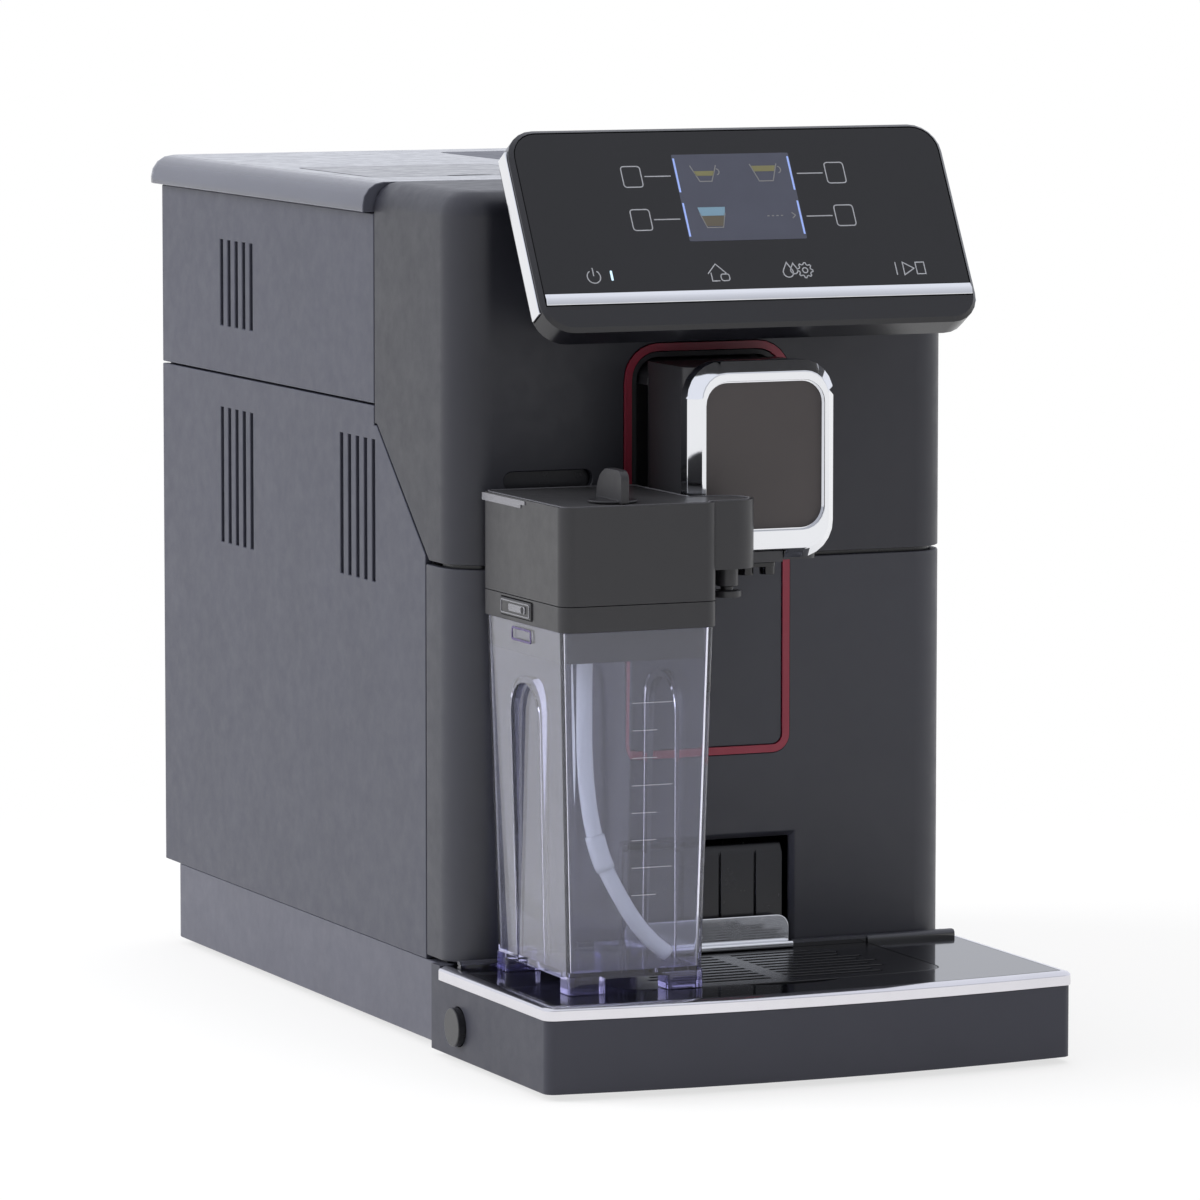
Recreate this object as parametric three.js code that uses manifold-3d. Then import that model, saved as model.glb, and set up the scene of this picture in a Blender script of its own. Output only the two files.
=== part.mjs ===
// A bean to cup coffee machine with a milk carafe, as an assembly of separate pieces.
// Units are millimetres, +Z is up and the front faces -Y. The origin lies on the ground,
// at the centre of the machine's outline.
import * as THREE from 'three'
import { mergeVertices } from 'three/addons/utils/BufferGeometryUtils.js'
import Module from 'manifold-3d'

const wasm = await Module()
wasm.setup()

// Overall sizes
const overallWidth = 224
const overallDepth = 447.5
const buttonProud = 2.25
const coverInset = 2.5
const bodyInset = 7
const trayWidth = overallWidth - buttonProud - buttonProud
const coverWidth = overallWidth - coverInset - coverInset
const bodyWidth = overallWidth - bodyInset - bodyInset
const frontOverhang = 107.5
const coverOverhang = 12.5
const plinthSetback = 10.5
const footHeight = 3

// Heights above the ground
const plinthTop = 34.4
const frontPanelFoot = 36.4
const frontSeamHeight = 189.3
const sideSeamHeight = 246
const coverSeamHeight = 321
const coverTop = 333

// Walls and clearances
const wall = 3
const thinWall = 2.2
const seatGap = 0.3
const runGap = 0.8
const seamGap = 0.8
const frontSeamGap = 1.6
const overrun = 5
const samePoint = 0.001

// Casing seams along the depth, measured back from the front face
const upperShellDepth = 84
const lowerPanelDepth = 30.4
const slantTopDepth = 81.6
const slantTopHeight = 238.6
const slantFootDepth = 27.3
const plinthLead = 15.9

// Casing corners
const casingCorner = 16
const casingTopRound = 10
const coverCorner = 14
const coverRound = 9
const plinthCorner = 6

// Side vents
const ventSlot = 3.5
const ventPitch = 8.6
const ventCount = 5
const ventRearDepth = 219.6
const ventFrontDepth = 83.7
const upperVentFoot = 266
const upperVentHeight = 35.5
const lowerVentFoot = 176.3
const lowerVentHeight = 56

// Red frame, spout channel and ports of the front face
const trimWidth = 70
const trimFoot = 112.4
const trimTop = 273.3
const trimLine = 3
const trimTopRound = 14
const trimFootRound = 7
const trimProud = 0.5
const trimInset = 1.5
const channelDepth = 10
const channelWall = 2
const slotMargin = 20
const slotRight = 48.4
const slotFoot = 218.6
const slotHeight = 7
const outletX = -64
const outletHeight = 200
const outletRadius = 9
const outletLength = 12
const outletBore = 3
const windowWidth = 71.6
const windowTop = 79
const windowBevel = 2

// Control panel: a tilted slab on a console
const panelTilt = THREE.MathUtils.degToRad(29.7)
const panelTopLead = 14
const panelTop = 357
const panelWidth = 181.4
const panelLength = 85
const panelThickness = 13
const panelCorner = 12
const panelEdge = 1.6
const glassMargin = 1.8
const glassThickness = 2
const barFoot = 74.5
const barHeight = 5
const barProud = 1.2
const trimStripWidth = 7.5
const trimStripLength = 68
const trimStripDrop = 8
const trimStripInset = 1.2
const trimStripProud = 0.5
const screenWidth = 49
const screenDrop = 12
const screenHeight = 36.8
const screenThickness = 3
const consoleWidth = 168
const consoleFoot = 278
const consoleBack = 26
const consoleRound = 3

// Coffee spout, which slides up and down
const spoutWidth = 56
const spoutFoot = 192.4
const spoutHeadTop = 267
const spoutHeadDepth = 41.5
const spoutHeadGap = 1.7
const spoutHeadRound = 6
const sliderFoot = 257.9
const sliderHeight = 9.2
const ringWidth = 61
const ringFoot = 193.8
const ringTop = 269.6
const ringCorner = 14
const ringDepth = 11
const ringSide = 6
const ringBevel = 4.2
const plateWidth = 49
const plateFoot = 205.2
const plateTop = 262
const plateCorner = 9
const plateRecess = 2.8
const mouthWidth = 19
const mouthTop = 197.4
const nozzleSpread = 9
const nozzleRadius = 3
const nozzleDrop = 4.5
const nozzleBore = 1.2

// Drip tray
const trayFoot = 2.5
const trayFloor = 3
const trayCorner = 5
const trayBow = 760
const trayInset = 0.7
const rimFoot = 30.2
const rimTop = 35.6
const rimBand = 4
const rimFace = 4
const rimSlope = 1
const rimLedge = 4
const rimLedgeHeight = 1.5
const rimRearLead = 6.8
const postWidth = 6
const coverSheet = 3.6
const coverLead = 1.5
const ridgeHeight = 2.9
const ridgeDepth = 3.2
const ridgeSink = 2.5
const grilleWidth = 134
const grilleFrontDepth = 79
const grilleRearDepth = 4
const grilleSheet = 2
const grilleCorner = 10
const grilleBow = 560
const grilleSlot = 2.6
const grillePitch = 6
const grilleSlotCount = 10
const grilleSlotLength = 52
const grilleStep = 5
const grilleSweep = 9
const grilleMargin = 8
const fingerWidth = 40
const fingerDepth = 6.5
const tailWidth = 120
const tailDepth = 102
const tailTop = 32
const railSpacing = 58
const railWidth = 2.4
const splashWidth = 69.2
const splashTop = 48.5
const splashSheet = 1.5
const splashCorner = 5
const beadHeight = 2.6
const beadDepth = 6
const buttonRadius = 7.5
const buttonBore = 7.9
const buttonLead = 11.9
const buttonHeight = 14.9
const buttonLength = 8
const floatX = -57.5
const floatLead = 44
const floatStem = 2.6
const floatDisc = 10
const floatDiscHeight = 5
const floatDrop = 2.4

// Grounds drawer, which stands on the tail of the tray
const drawerWidth = 68.6
const drawerTop = 76
const drawerDepth = 90
const drawerFaceInset = 4
const drawerFace = 4
const drawerWall = 2
const drawerChamfer = 4
const grooveSpacing = 15
const grooveCount = 4
const grooveWidth = 0.8
const grooveDepth = 1

// Milk carafe, which stands on the tray
const carafeX = -64
const carafeLead = 83.5
const carafeLength = 80.5
const lidWidth = 64
const lidCorner = 5.5
const lidFoot = 182.6
const lidTop = 219.5
const lidPlate = 1.2
const lidMargin = 2.4
const collarFoot = 172.8
const collarTop = 182.3
const collarWall = 4.6
const skirtDrop = 12
const skirtWall = 1.6
const bodyTopWidth = 62.4
const bodyFootWidth = 55
const bodyTopLength = 77.5
const bodyFootLength = 73
const bodyCorner = 4
const bodyFloorHeight = 41.4
const bodyFloor = 2.6
const legWidth = 15
const legLength = 11
const legCorner = 2
const gripHalfWidth = 13.2
const gripTop = 150
const gripLead = 42
const gripDepth = 3.4
const armReach = 12.4
const armWidth = 22
const armFoot = 193.6
const armLead = 68
const milkTubeRadius = 4.3
const milkTubeLength = 7
const milkNeckRadius = 2.4
const milkNeckLength = 1.6
const milkFlangeRadius = 5.5
const milkFlangeLength = 2.6
const leverX = -69
const leverLead = 67.5
const leverLength = 24
const leverHeight = 12.6
const leverThickness = 3.3
const leverDisc = 9.5
const leverDiscHeight = 1
const leverFrontRound = 4
const leverRearRound = 11
const latchLead = 39
const latchWidth = 30
const latchFoot = 174.6
const latchHeight = 6.6
const latchThickness = 2.6
const latchProud = 0.7
const socketRadius = 7
const socketBore = 2.6

// Suction hose: a free hose, whose route is a list of points chosen by hand
const hoseRadius = 3.1
const hoseRoute = [
  [-75.8, -173.8, 182.2],
  [-75.8, -173.8, 174],
  [-76, -173.8, 165],
  [-76.4, -173.8, 156.6],
  [-76.6, -173.9, 141.6],
  [-76.7, -174.3, 126.3],
  [-76.3, -175.6, 111.1],
  [-75.1, -177.6, 97.9],
  [-72.1, -179.6, 84.6],
  [-66.6, -181.4, 72.3],
  [-60, -182.8, 61],
  [-53.5, -183.6, 53.2],
  [-46.8, -183.8, 47.6],
]
const hoseSideCount = 10
const hoseStepCount = 40

// Openings of the top cover
const hopperLeft = 92
const hopperRight = 8
const hopperFront = 2
const hopperRear = 88
const tankLeft = 12
const tankRight = 94
const tankFront = 94
const tankRear = 192
const lidSheet = 3
const lidRound = 6
const lidShelf = 4

// Inner frame
const deckThickness = 3
const deckFront = 5
const bulkheadY = 84
const shelfHeight = 140
const wingLength = 18
const frontPlateFoot = 84
const frontPlateTop = 318

// Parts inside the casing
const tankWall = 2.4
const tankRound = 8
const hopperWall = 2.4
const throatRadius = 16
const throatLength = 6
const knobRadius = 12
const knobHeight = 18
const knobTop = 304
const knobSpindle = 4
const grinderX = -50
const grinderY = 42
const grinderRadius = 34
const grinderNeckShare = 0.8
const grinderTop = 239.4
const hopperFoot = grinderTop + seatGap
const burrRadius = 24
const burrHeight = 20
const burrToothCount = 8
const burrShaft = 6
const burrLean = THREE.MathUtils.degToRad(30)
const grinderCaseDepth = 30
const brewLeft = 24
const brewRight = 96
const brewFront = 21
const brewRear = 78
const brewTop = 196
const brewBore = 19
const brewFloor = 24
const plungerHead = 18.2
const plungerHeadHeight = 14
const plungerRod = 7
const boilerX = -64
const boilerHeight = 262
const boilerRadius = 27
const boilerLength = 44
const boilerFinCount = 4
const boilerFinDepth = 3
const boilerFinWidth = 4
const pumpX = -62
const pumpY = 146
const pumpRadius = 21
const pumpLength = 74
const pumpNeck = 9
const pumpNeckLength = 14
const pumpFootWidth = 30
const inletX = -6
const inletHeight = 62
const inletWidth = 28
const inletTall = 22
const inletDepth = 24
const inletWall = 2.4
const switchX = -34
const switchWidth = 20
const switchTall = 14
const switchDepth = 9
const switchProud = 2.4
const rockerShare = 0.7

// Service door in the lower right side
const doorFront = 32
const doorRear = 80
const doorFoot = 56
const doorTop = 226
const doorCorner = 5
const doorGripWidth = 10
const doorGripHeight = 34

// Feet
const footRadius = 9
const footInsetX = 22
const footInsetY = 24

// Derived planes
const frontY = -overallDepth / 2 + frontOverhang
const trayFrontY = -overallDepth / 2
const coverRearY = overallDepth / 2
const sideRearY = coverRearY - coverOverhang
const plinthRearY = sideRearY - plinthSetback
const plinthFrontY = frontY + plinthLead
const sideX = bodyWidth / 2
const innerX = sideX - wall - seatGap
const plinthX = sideX - seamGap
const trayX = trayWidth / 2
const deckFoot = plinthTop + seatGap
const deckTop = deckFoot + deckThickness
const upperShellRearY = frontY + upperShellDepth
const lowerPanelRearY = frontY + lowerPanelDepth

// Colours and finishes
const finish = (color, roughness, metalness = 0) => (
  new THREE.MeshStandardMaterial({ color, roughness, metalness })
)
const charcoal = finish(0x3c3e45, 0.5)
const darkPlastic = finish(0x2b2c31, 0.55)
const glossBlack = finish(0x0d0d10, 0.08)
const chrome = finish(0xd8dadf, 0.08, 1)
const redTrim = finish(0x9c2438, 0.35)
const brownPlate = finish(0x4b4545, 0.45)
const clearPlastic = new THREE.MeshStandardMaterial({
  color: 0xb9bcd6, roughness: 0.08, metalness: 0, transparent: true, opacity: 0.35,
})
const smokedPlastic = new THREE.MeshStandardMaterial({
  color: 0x24242a, roughness: 0.1, metalness: 0, transparent: true, opacity: 0.8,
})
const siliconeTube = finish(0xc3cbd8, 0.4)
const carafeGrey = finish(0x414147, 0.5)
const rubber = finish(0x17171a, 0.9)
const steel = finish(0x9a9ca0, 0.35, 1)
const whitePlastic = finish(0xd5d3cc, 0.5)
const screenBlue = finish(0x5c6378, 0.2)

// Solids from three.js geometry, cut and joined by Manifold
function solid(geometry) {
  const bare = geometry.index ? geometry.toNonIndexed() : geometry.clone()
  for (const name of Object.keys(bare.attributes)) {
    if (name !== 'position') bare.deleteAttribute(name)
  }
  const merged = mergeVertices(bare)
  const places = merged.attributes.position
  const corners = Uint32Array.from(merged.index.array)
  const [a, b, c] = [new THREE.Vector3(), new THREE.Vector3(), new THREE.Vector3()]
  let volume = 0
  for (let i = 0; i < corners.length; i += 3) {
    a.fromBufferAttribute(places, corners[i])
    b.fromBufferAttribute(places, corners[i + 1])
    c.fromBufferAttribute(places, corners[i + 2])
    volume += a.dot(b.cross(c))
  }
  if (volume < 0) corners.reverse()
  return new wasm.Manifold(new wasm.Mesh({
    numProp: 3, vertProperties: Float32Array.from(places.array), triVerts: corners,
  }))
}
const cut = (base, ...tools) => tools.reduce((rest, tool) => rest.subtract(tool), base)
const join = (base, ...others) => others.reduce((whole, other) => whole.add(other), base)

// A box between two corners
function block(x0, x1, y0, y1, z0, z1) {
  const box = new THREE.BoxGeometry(x1 - x0, y1 - y0, z1 - z0)
  return solid(box.translate((x0 + x1) / 2, (y0 + y1) / 2, (z0 + z1) / 2))
}

// A rectangle with rounded corners: low left, low right, high right, high left
function outline(left, right, low, high, radius = 0) {
  const [a, b, c, d] = Array.isArray(radius) ? radius : Array(4).fill(radius)
  const quarter = Math.PI / 2
  const shape = new THREE.Shape()
  shape.moveTo(left + a, low)
  shape.lineTo(right - b, low)
  if (b > 0) shape.absarc(right - b, low + b, b, -quarter, 0)
  shape.lineTo(right, high - c)
  if (c > 0) shape.absarc(right - c, high - c, c, 0, quarter)
  shape.lineTo(left + d, high)
  if (d > 0) shape.absarc(left + d, high - d, d, quarter, 2 * quarter)
  shape.lineTo(left, low + a)
  if (a > 0) shape.absarc(left + a, low + a, a, 2 * quarter, 3 * quarter)
  return shape
}
function polygon(points) {
  return new THREE.Shape(points.map(([u, v]) => new THREE.Vector2(u, v)))
}

// Outlines swept along an axis. X prisms take (y, z) outlines and Y prisms (x, z) ones.
const axisX = new THREE.Vector3(1, 0, 0)
const axisY = new THREE.Vector3(0, 1, 0)
const axisZ = new THREE.Vector3(0, 0, 1)
const arcSteps = 3
function prismZ(shape, z0, z1, curveSegments = arcSteps) {
  const swept = new THREE.ExtrudeGeometry(shape, { depth: z1 - z0, bevelEnabled: false, curveSegments })
  return solid(swept.translate(0, 0, z0))
}
function prismX(shape, x0, x1, curveSegments = arcSteps) {
  const swept = new THREE.ExtrudeGeometry(shape, { depth: x1 - x0, bevelEnabled: false, curveSegments })
  const turn = new THREE.Matrix4().makeBasis(axisY, axisZ, axisX)
  return solid(swept.applyMatrix4(turn).translate(x0, 0, 0))
}
function prismY(shape, y0, y1, curveSegments = arcSteps) {
  const swept = new THREE.ExtrudeGeometry(shape, { depth: y1 - y0, bevelEnabled: false, curveSegments })
  const turn = new THREE.Matrix4().makeBasis(axisX, axisZ, axisY.clone().negate())
  return solid(swept.applyMatrix4(turn).translate(0, y1, 0))
}

// A closed solid through outlines of like make, each at its own height
function stack(layers, curveSegments = arcSteps) {
  const loops = layers.map(([shape, height]) => {
    const points = shape.getPoints(curveSegments)
    const kept = points.filter((point, i) => point.distanceTo(points.at(i - 1)) > samePoint)
    return kept.map((point) => new THREE.Vector3(point.x, point.y, height))
  })
  const count = loops[0].length
  const places = loops.flat().flatMap((point) => point.toArray())
  const faces = []
  for (let level = 0; level + 1 < loops.length; level += 1) {
    for (let i = 0; i < count; i += 1) {
      const [low, next] = [level * count + i, level * count + (i + 1) % count]
      faces.push(low, next, next + count, low, next + count, low + count)
    }
  }
  const cap = (loop) => THREE.ShapeUtils.triangulateShape(loop.map((p) => new THREE.Vector2(p.x, p.y)), [])
  for (const [i, j, k] of cap(loops[0])) faces.push(k, j, i)
  const top = (loops.length - 1) * count
  for (const [i, j, k] of cap(loops.at(-1))) faces.push(top + i, top + j, top + k)
  const geometry = new THREE.BufferGeometry()
  geometry.setAttribute('position', new THREE.Float32BufferAttribute(places, 3))
  geometry.setIndex(faces)
  return solid(geometry)
}
// The same, with (x, z) outlines that step towards the front
function stackToFront(layers, curveSegments = arcSteps) {
  const upright = stack(layers.map(([shape, y]) => [shape, -y]), curveSegments)
  return solid(plain(upright).rotateX(Math.PI / 2))
}

// A turned piece from [radius, height] points, about Z through a point, or about Y
function turned(profile, x, y, z, steps = 20) {
  const points = profile.map(([radius, height]) => new THREE.Vector2(radius, height))
  return solid(new THREE.LatheGeometry(points, steps).rotateX(Math.PI / 2).translate(x, y, z))
}
function turnedToRear(profile, x, y, z, steps = 20) {
  const points = profile.map(([radius, height]) => new THREE.Vector2(radius, height))
  return solid(new THREE.LatheGeometry(points, steps).translate(x, y, z))
}
const rod = (radius, x, y, z0, z1, steps = 20) => (
  turned([[0, z0], [radius, z0], [radius, z1], [0, z1]], x, y, 0, steps)
)
const rodY = (radius, x, z, y0, y1, steps = 20) => (
  turnedToRear([[0, y0], [radius, y0], [radius, y1], [0, y1]], x, 0, z, steps)
)
const rodX = (radius, y, z, x0, x1, steps = 20) => (
  solid(new THREE.CylinderGeometry(radius, radius, x1 - x0, steps)
    .rotateZ(Math.PI / 2).translate((x0 + x1) / 2, y, z))
)
function plain(manifold) {
  const { vertProperties, triVerts } = manifold.getMesh()
  const geometry = new THREE.BufferGeometry()
  geometry.setAttribute('position', new THREE.Float32BufferAttribute(vertProperties, 3))
  geometry.setIndex(Array.from(triVerts))
  return geometry
}

const machine = new THREE.Group()
const fixedParts = new THREE.Group()
const trayParts = new THREE.Group()
const spoutParts = new THREE.Group()
const carafeParts = new THREE.Group()
const panelParts = new THREE.Group()
machine.add(fixedParts, trayParts, spoutParts)
trayParts.add(carafeParts)
fixedParts.add(panelParts)
function place(name, manifold, material, parent = fixedParts) {
  const geometry = plain(manifold)
  geometry.computeVertexNormals()
  const mesh = new THREE.Mesh(geometry, material)
  mesh.name = name
  parent.add(mesh)
}

// Plinth: a tub under the casing, open at the front for the tail of the tray
function plinth() {
  const plinthWall = wall + thinWall
  const outer = outline(-plinthX, plinthX, plinthFrontY, plinthRearY, plinthCorner)
  const inner = outline(
    plinthWall - plinthX, plinthX - plinthWall,
    plinthFrontY + plinthWall, plinthRearY - plinthWall, plinthCorner,
  )
  const mouth = tailWidth / 2 + runGap
  return cut(
    prismZ(outer, footHeight, plinthTop),
    prismZ(inner, footHeight + wall, plinthTop + overrun),
    block(-mouth, mouth, plinthFrontY - overrun, plinthFrontY + plinthWall + overrun,
      footHeight + wall, plinthTop + overrun),
  )
}
place('base_plinth', plinth(), charcoal)

const footPlaces = [['left', -1], ['right', 1]].flatMap(([side, sign]) => [
  [`foot_front_${side}`, sign * (plinthX - footInsetX), plinthFrontY + footInsetY],
  [`foot_rear_${side}`, sign * (plinthX - footInsetX), plinthRearY - footInsetY],
])
for (const [name, x, y] of footPlaces) {
  place(name, rod(footRadius, x, y, 0, footHeight - seatGap), rubber)
}

// Inner frame: a deck on the plinth, a cross bulkhead, a grinder shelf and a front plate
function innerFrame() {
  const deckRearY = sideRearY - wall - seatGap
  const plateY = frontY + wall + seatGap
  const plateRearY = plateY + wall
  const bulkheadRearY = bulkheadY + wall
  const deck = block(-innerX, innerX, deckFront, deckRearY, deckFoot, deckTop)
  const bulkheadTop = coverSeamHeight - seatGap
  const bulkhead = block(-innerX, innerX, bulkheadY, bulkheadRearY, deckTop - deckThickness, bulkheadTop)
  const shelfX = -hopperRight
  const shelf = block(-innerX, shelfX + wall, deckFront, bulkheadRearY, shelfHeight, shelfHeight + wall)
  const web = block(shelfX, shelfX + wall, deckFront, bulkheadRearY, deckFoot, shelfHeight + wall)
  const frontPlate = cut(
    prismZ(casingOutline(wall + seatGap, plateY + wingLength), frontPlateFoot, frontPlateTop),
    prismZ(casingOutline(2 * wall + seatGap, plateY + wingLength + overrun),
      frontPlateFoot - overrun, frontPlateTop + overrun),
  )
  const rails = [-1, 1].map((side) => {
    const [near, far] = [side * (innerX - wall - seatGap), side * (innerX - seatGap)]
    return block(Math.min(near, far), Math.max(near, far), plateY + wingLength - wall, deckFront + overrun,
      deckFoot, frontPlateFoot + wall)
  })
  const channelHalf = trimWidth / 2 + runGap
  const channelHole = block(-channelHalf, channelHalf, plateY - overrun, plateRearY + overrun,
    frontSeamHeight - overrun, trimTop + runGap)
  const outletHole = rodY(outletRadius + runGap, outletX, outletHeight, plateY - overrun, plateRearY + overrun)
  return cut(join(deck, bulkhead, shelf, web, frontPlate, ...rails), channelHole, outletHole)
}
place('inner_frame', innerFrame(), steel)

// Vent slots as upright bars across a side panel
function ventBars(side, rearDepth, foot, height) {
  const [x0, x1] = side < 0 ? [-sideX - overrun, -sideX + wall + overrun] : [sideX - wall - overrun, sideX + overrun]
  return Array.from({ length: ventCount }, (_, i) => {
    const y = frontY + rearDepth + i * ventPitch
    return block(x0, x1, y, y + ventSlot, foot, foot + height)
  })
}
function sideSheet(side, shape) {
  return side < 0 ? prismX(shape, -sideX, -sideX + wall) : prismX(shape, sideX - wall, sideX)
}

// Side panels: an upper and a lower one on each side
const halfSeam = seamGap / 2
function upperSidePanel(side) {
  const shape = outline(upperShellRearY + seamGap, sideRearY, sideSeamHeight + halfSeam, coverSeamHeight - seatGap)
  return cut(sideSheet(side, shape), ...ventBars(side, ventRearDepth, upperVentFoot, upperVentHeight))
}
function lowerSidePanel(side) {
  const slantRun = slantTopDepth - slantFootDepth
  const slantRise = slantTopHeight - frontSeamHeight
  const slantLength = Math.hypot(slantRun, slantRise)
  const drop = seamGap * slantLength / slantRun
  const slantAtPanel = frontSeamHeight + (lowerPanelDepth + seamGap - slantFootDepth) * slantRise / slantRun
  const levelY = frontY + slantTopDepth + (drop - seamGap) * slantRun / slantRise
  const shape = polygon([
    [lowerPanelRearY + seamGap, plinthTop + seatGap],
    [sideRearY, plinthTop + seatGap],
    [sideRearY, sideSeamHeight - halfSeam],
    [upperShellRearY + seamGap, sideSeamHeight - halfSeam],
    [upperShellRearY + seamGap, slantTopHeight - seamGap],
    [levelY, slantTopHeight - seamGap],
    [lowerPanelRearY + seamGap, slantAtPanel - drop],
  ])
  const vents = [
    ...ventBars(side, ventRearDepth, lowerVentFoot, lowerVentHeight),
    ...ventBars(side, ventFrontDepth, lowerVentFoot, lowerVentHeight),
  ]
  const doorway = prismX(
    outline(-doorFront - seamGap, doorRear + seamGap, doorFoot - seamGap, doorTop + seamGap, doorCorner + seamGap),
    sideX - wall - overrun, sideX + overrun,
  )
  return side < 0 ? cut(sideSheet(side, shape), ...vents) : cut(sideSheet(side, shape), vents[0], vents[1],
    vents[2], vents[3], vents[4], doorway)
}
for (const [side, sign] of [['left', -1], ['right', 1]]) {
  place(`side_panel_upper_${side}`, upperSidePanel(sign), charcoal)
  place(`side_panel_lower_${side}`, lowerSidePanel(sign), charcoal)
}

// Service door, hinged on an upright line at its rear edge, with a finger grip in its front edge
function serviceDoor() {
  const sheet = prismX(outline(-doorFront, doorRear, doorFoot, doorTop, doorCorner), sideX - wall, sideX)
  const middle = (doorFoot + doorTop) / 2
  const grip = prismX(
    outline(-doorFront - doorGripWidth, -doorFront + doorGripWidth,
      middle - doorGripHeight / 2, middle + doorGripHeight / 2, doorCorner),
    sideX - wall / 2, sideX + overrun,
  )
  return cut(sheet, grip)
}
place('service_door', serviceDoor(), charcoal)

// Rear panel, with the openings for the mains inlet and the switch and a row of vents
function rearPanel() {
  const sheet = prismY(
    outline(-innerX, innerX, plinthTop + seatGap, coverSeamHeight - seatGap, wall),
    sideRearY - wall, sideRearY,
  )
  const hole = (x, z, wide, tall) => block(
    x - wide / 2 - seatGap, x + wide / 2 + seatGap, sideRearY - wall - overrun, sideRearY + overrun,
    z - tall / 2 - seatGap, z + tall / 2 + seatGap,
  )
  const slots = Array.from({ length: 2 * ventCount }, (_, i) => (
    hole(-hopperLeft + (i + 1) * ventPitch, lowerVentFoot + lowerVentHeight / 2, ventSlot, lowerVentHeight)
  ))
  return cut(sheet, hole(inletX, inletHeight, inletWidth, inletTall),
    hole(switchX, inletHeight, switchWidth + runGap, switchTall + runGap), ...slots)
}
place('rear_panel', rearPanel(), charcoal)

// Top cover: a rounded cap over the casing, hollow beneath, with shelves for the two lids
function coverOutline(inset) {
  const half = coverWidth / 2 - inset
  const rear = coverRearY - inset
  const corner = coverCorner - inset
  return outline(-half, half, upperShellRearY + seamGap, rear, [0, 0, corner, corner])
}
function topCover() {
  const roundSteps = 4
  const layers = [[coverOutline(0), coverSeamHeight + seatGap]]
  for (let i = 0; i <= roundSteps; i += 1) {
    const angle = i / roundSteps * Math.PI / 2
    const height = coverTop - coverRound * (1 - Math.sin(angle))
    layers.push([coverOutline(coverRound * (1 - Math.cos(angle))), height])
  }
  const hollowX = innerX - wall
  const hollow = block(-hollowX, hollowX, upperShellRearY + wall + seamGap, sideRearY - wall,
    coverSeamHeight - overrun, coverTop - lidSheet - lidShelf)
  const lidHole = (x0, x1, y0, y1) => join(
    prismZ(outline(x0, x1, y0, y1, lidRound), coverTop - lidSheet - seatGap, coverTop + overrun),
    prismZ(outline(x0 + lidShelf, x1 - lidShelf, y0 + lidShelf, y1 - lidShelf, lidRound),
      coverSeamHeight - overrun, coverTop + overrun),
  )
  const tankHole = prismZ(outline(tankLeft, tankRight, tankFront, tankRear, lidRound),
    coverSeamHeight - overrun, coverTop + overrun)
  return cut(stack(layers), hollow, tankHole, lidHole(-hopperLeft, -hopperRight, hopperFront, hopperRear))
}
place('top_cover', topCover(), charcoal)

// Upper front shell: a moulding round the front corners, with a slanted lower edge
function casingOutline(inset, rear) {
  const half = sideX - inset
  const corner = casingCorner - inset
  return outline(-half, half, frontY + inset, rear, [corner, corner, 0, 0])
}
function upperFrontShell() {
  const foot = frontSeamHeight + frontSeamGap / 2
  const roundSteps = 4
  const dome = (inset, rear, low) => {
    const layers = [[casingOutline(inset, rear), low]]
    const radius = casingTopRound - inset
    for (let i = 0; i <= roundSteps; i += 1) {
      const angle = i / roundSteps * Math.PI / 2
      const height = coverTop - inset - radius * (1 - Math.sin(angle))
      layers.push([casingOutline(inset + radius * (1 - Math.cos(angle)), rear), height])
    }
    return stack(layers)
  }
  const slant = prismX(polygon([
    [frontY + slantFootDepth, foot - overrun],
    [frontY + slantFootDepth, foot],
    [frontY + slantTopDepth, slantTopHeight],
    [upperShellRearY + overrun, slantTopHeight],
    [upperShellRearY + overrun, foot - overrun],
  ]), -bodyWidth, bodyWidth)
  const trimHalf = trimWidth / 2
  const channelHalf = trimHalf - trimLine
  const channelTop = trimTop - trimLine
  const channelHole = prismY(
    outline(-channelHalf, channelHalf, foot - overrun, channelTop, [0, 0, trimTopRound - trimLine, trimTopRound - trimLine]),
    frontY - overrun, frontY + wall + overrun,
  )
  const port = prismY(
    outline(slotMargin - sideX, -slotRight, slotFoot, slotFoot + slotHeight, slotHeight / 2 - seatGap),
    frontY - overrun, frontY + wall + overrun,
  )
  const outlet = rodY(outletRadius + seatGap, outletX, outletHeight, frontY - overrun, frontY + wall + overrun)
  return cut(
    dome(0, upperShellRearY, foot),
    dome(wall, upperShellRearY + overrun, foot - overrun),
    slant, channelHole, port, outlet, trimGroove(),
  )
}
// The groove that the red frame lies in
function trimGroove() {
  const half = trimWidth / 2 + seatGap / 2
  const round = (radius) => radius + seatGap / 2
  return prismY(
    outline(-half, half, trimFoot - seatGap / 2, trimTop + seatGap / 2,
      [round(trimFootRound), round(trimFootRound), round(trimTopRound), round(trimTopRound)]),
    frontY - overrun, frontY + trimInset,
  )
}
place('upper_front_shell', upperFrontShell(), charcoal)

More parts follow.
